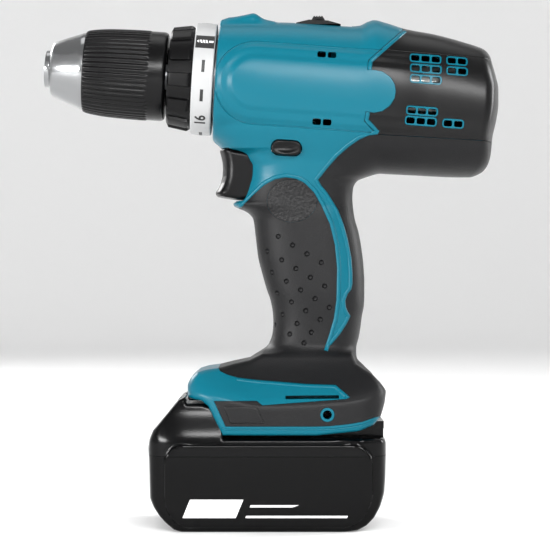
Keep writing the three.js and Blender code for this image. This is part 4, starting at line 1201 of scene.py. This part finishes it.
def build_battery():
    whole = carved("pack", pack_with_panel, PACK_LOW, (PACK_BACK, 39, 64), 0.8)
    hollow = carved("tool", pack_hollow, PACK_LOW, (PACK_BACK, 39, 44), 1.6)
    case = copied(whole, "pack_case")
    cut(case, copied(hollow, "tool"), block(-FAR, FAR, -FAR, FAR, PARTING, 2 * FAR))
    finished(smooth(case, 32), "battery_gloss", "battery_shell", "battery", "battery_case")
    cover = cut(whole, hollow, block(-FAR, FAR, -FAR, FAR, -FAR, PARTING + PARTING_GAP))
    cover.name = "pack_cover"
    join(cover, *[block(*rail) for rail in RAILS])
    side = LATCH_HALF + LATCH_GAP
    cut(cover, block(-53.6, -41.8, -side, side, 46.2, 70), block(-62, -53, -side, side, 50.2, 70))
    cut(cover, block(-44, -28.6, -6.4, 6.4, 52.2, 70), block(-51, -45, -3, 3, 42, 52))
    cut(cover, *[block(5, FAR, y - 1, y + 1, 46.6, FAR) for y in TERMINAL_ROWS])
    finished(smooth(cover, 32), "battery_satin", "battery_shell", "battery", "battery_cover")
    latch = prism(LATCH_SIDE, -LATCH_HALF, LATCH_HALF, "release_button")
    join(latch, block(*LATCH_TONGUE))
    finished(smooth(latch), "battery_satin", "battery_shell", "battery_latch", "battery_latch")
    build_labels()


def build_labels():
    """Plain printed shapes low on the sides, and a pale plate on the button's slope."""
    inner, outer = PACK_HALF_Y + PANEL_RISE - LABEL_SINK, PACK_HALF_Y + PANEL_RISE + LABEL_RISE
    for side, y0, y1 in (("left", -outer, -inner), ("right", inner, outer)):
        label = merged(f"pack_label_{side}", [prism(shape, y0, y1) for shape in LABELS])
        finished(label, "white_ink", "battery_shell", "battery")
    (x0, z0), (x1, z1) = LATCH_SIDE[:2]
    way = Vector((x1 - x0, z1 - z0)).normalized()
    outline = [(x0 + way.x * t - way.y * rise, z0 + way.y * t + way.x * rise) for t, rise in PLATE_CORNERS]
    plate = prism(outline, PLATE_MARGIN - LATCH_HALF, LATCH_HALF - PLATE_MARGIN, "button_plate")
    finished(plate, "white_ink", "battery_shell", "battery_latch")


# ---- CAD nodes shown as they are ----

# the slots whose finish has another name
SLOT_FINISH = {
    "dark_steel": "oiled_steel", "bright_steel": "ground_steel", "chuck_steel": "turned_steel",
    "bronze": "sintered_bronze", "copper": "bare_copper", "black_sleeve": "sleeve_black",
    "dial_face": "dial_silver", "battery_shell": "battery_gloss", "cell_can": "cell_wrap",
}


def finish_nodes():
    for part in frame["record"]["subparts"]:
        slot = part["material_slot"]
        coated(frame["nodes"][part["node"]], SLOT_FINISH.get(slot, slot))


# ---- floor, light and camera ----

FLOOR_FLAT, FLOOR_TURN, WALL_TOP, FLOOR_SIDES = 2.4, 1.2, 3.6, 96
CAMERA_PLACE = (0.0018, -1.0, 0.1181)
FIELD, SENSOR, CLIP = 0.2619, 36.0, (0.05, 20)
LIT_PLACE = (0, 0, 0.15)
# each light's place, width and height, and power
LIGHTS = {
    "left_band": ((-1.25, -1.3, 0.35), (0.8, 0.2), 28),
    "front_band": ((0.3, -1.6, 0.85), (1.2, 0.2), 30),
    "rim": ((1.3, 0.5, 0.6), (0.3, 1.0), 16),
    "far_rim": ((-0.9, 1.3, 0.8), (0.6, 0.6), 10),
    "overhead": ((0, 0.5, 2.4), (1.8, 1.2), 10),
}
WORLD_STRENGTH = 0.42


def build_stage():
    """A round pale floor that curves up into a wall on every side."""
    profile = [(0.01, 0), (FLOOR_FLAT, 0)]
    for angle in np.linspace(0.1, math.pi / 2, 12):
        profile.append((FLOOR_FLAT + FLOOR_TURN * math.sin(angle), FLOOR_TURN * (1 - math.cos(angle))))
    profile.append((FLOOR_FLAT + FLOOR_TURN, WALL_TOP))
    around = FLOOR_SIDES
    turns = [2 * math.pi * k / around for k in range(around)]
    points = [(radius * math.cos(t), radius * math.sin(t), z) for radius, z in profile for t in turns]
    faces = [*bands(0, len(profile), around), list(range(around))]
    mesh = bpy.data.meshes.new("floor")
    mesh.from_pydata(points, [], faces)
    floor = coated(placed("floor", mesh), "pale_floor")
    mesh.polygons.foreach_set("use_smooth", [True] * len(faces))


def area_light(name, place, size, power):
    light = bpy.data.lights.new(name, "AREA")
    light.shape, light.size, light.size_y, light.energy = "RECTANGLE", *size, power
    lamp = placed(name, light)
    lamp.location = place
    lamp.rotation_euler = (Vector(LIT_PLACE) - Vector(place)).to_track_quat("-Z", "Y").to_euler()


def build_lights():
    for name, (place, size, power) in LIGHTS.items():
        area_light(name, place, size, power)
    world = bpy.data.worlds.new("studio")
    world.use_nodes = True
    background = world.node_tree.nodes["Background"]
    background.inputs["Color"].default_value = (1, 1, 1, 1)
    background.inputs["Strength"].default_value = WORLD_STRENGTH
    bpy.context.scene.world = world
    bpy.context.scene.view_settings.view_transform = "Standard"


def build_camera():
    lens = bpy.data.cameras.new("camera")
    lens.sensor_width = SENSOR
    lens.lens = SENSOR * -CAMERA_PLACE[1] / FIELD
    lens.clip_start, lens.clip_end = CLIP
    camera = placed("camera", lens)
    camera.location = CAMERA_PLACE
    camera.rotation_euler = (math.pi / 2, 0, 0)
    bpy.context.scene.camera = camera


finish_nodes()
build_housing()
build_chuck()
build_torque_ring()
build_controls()
build_battery()
build_stage()
build_lights()
build_camera()
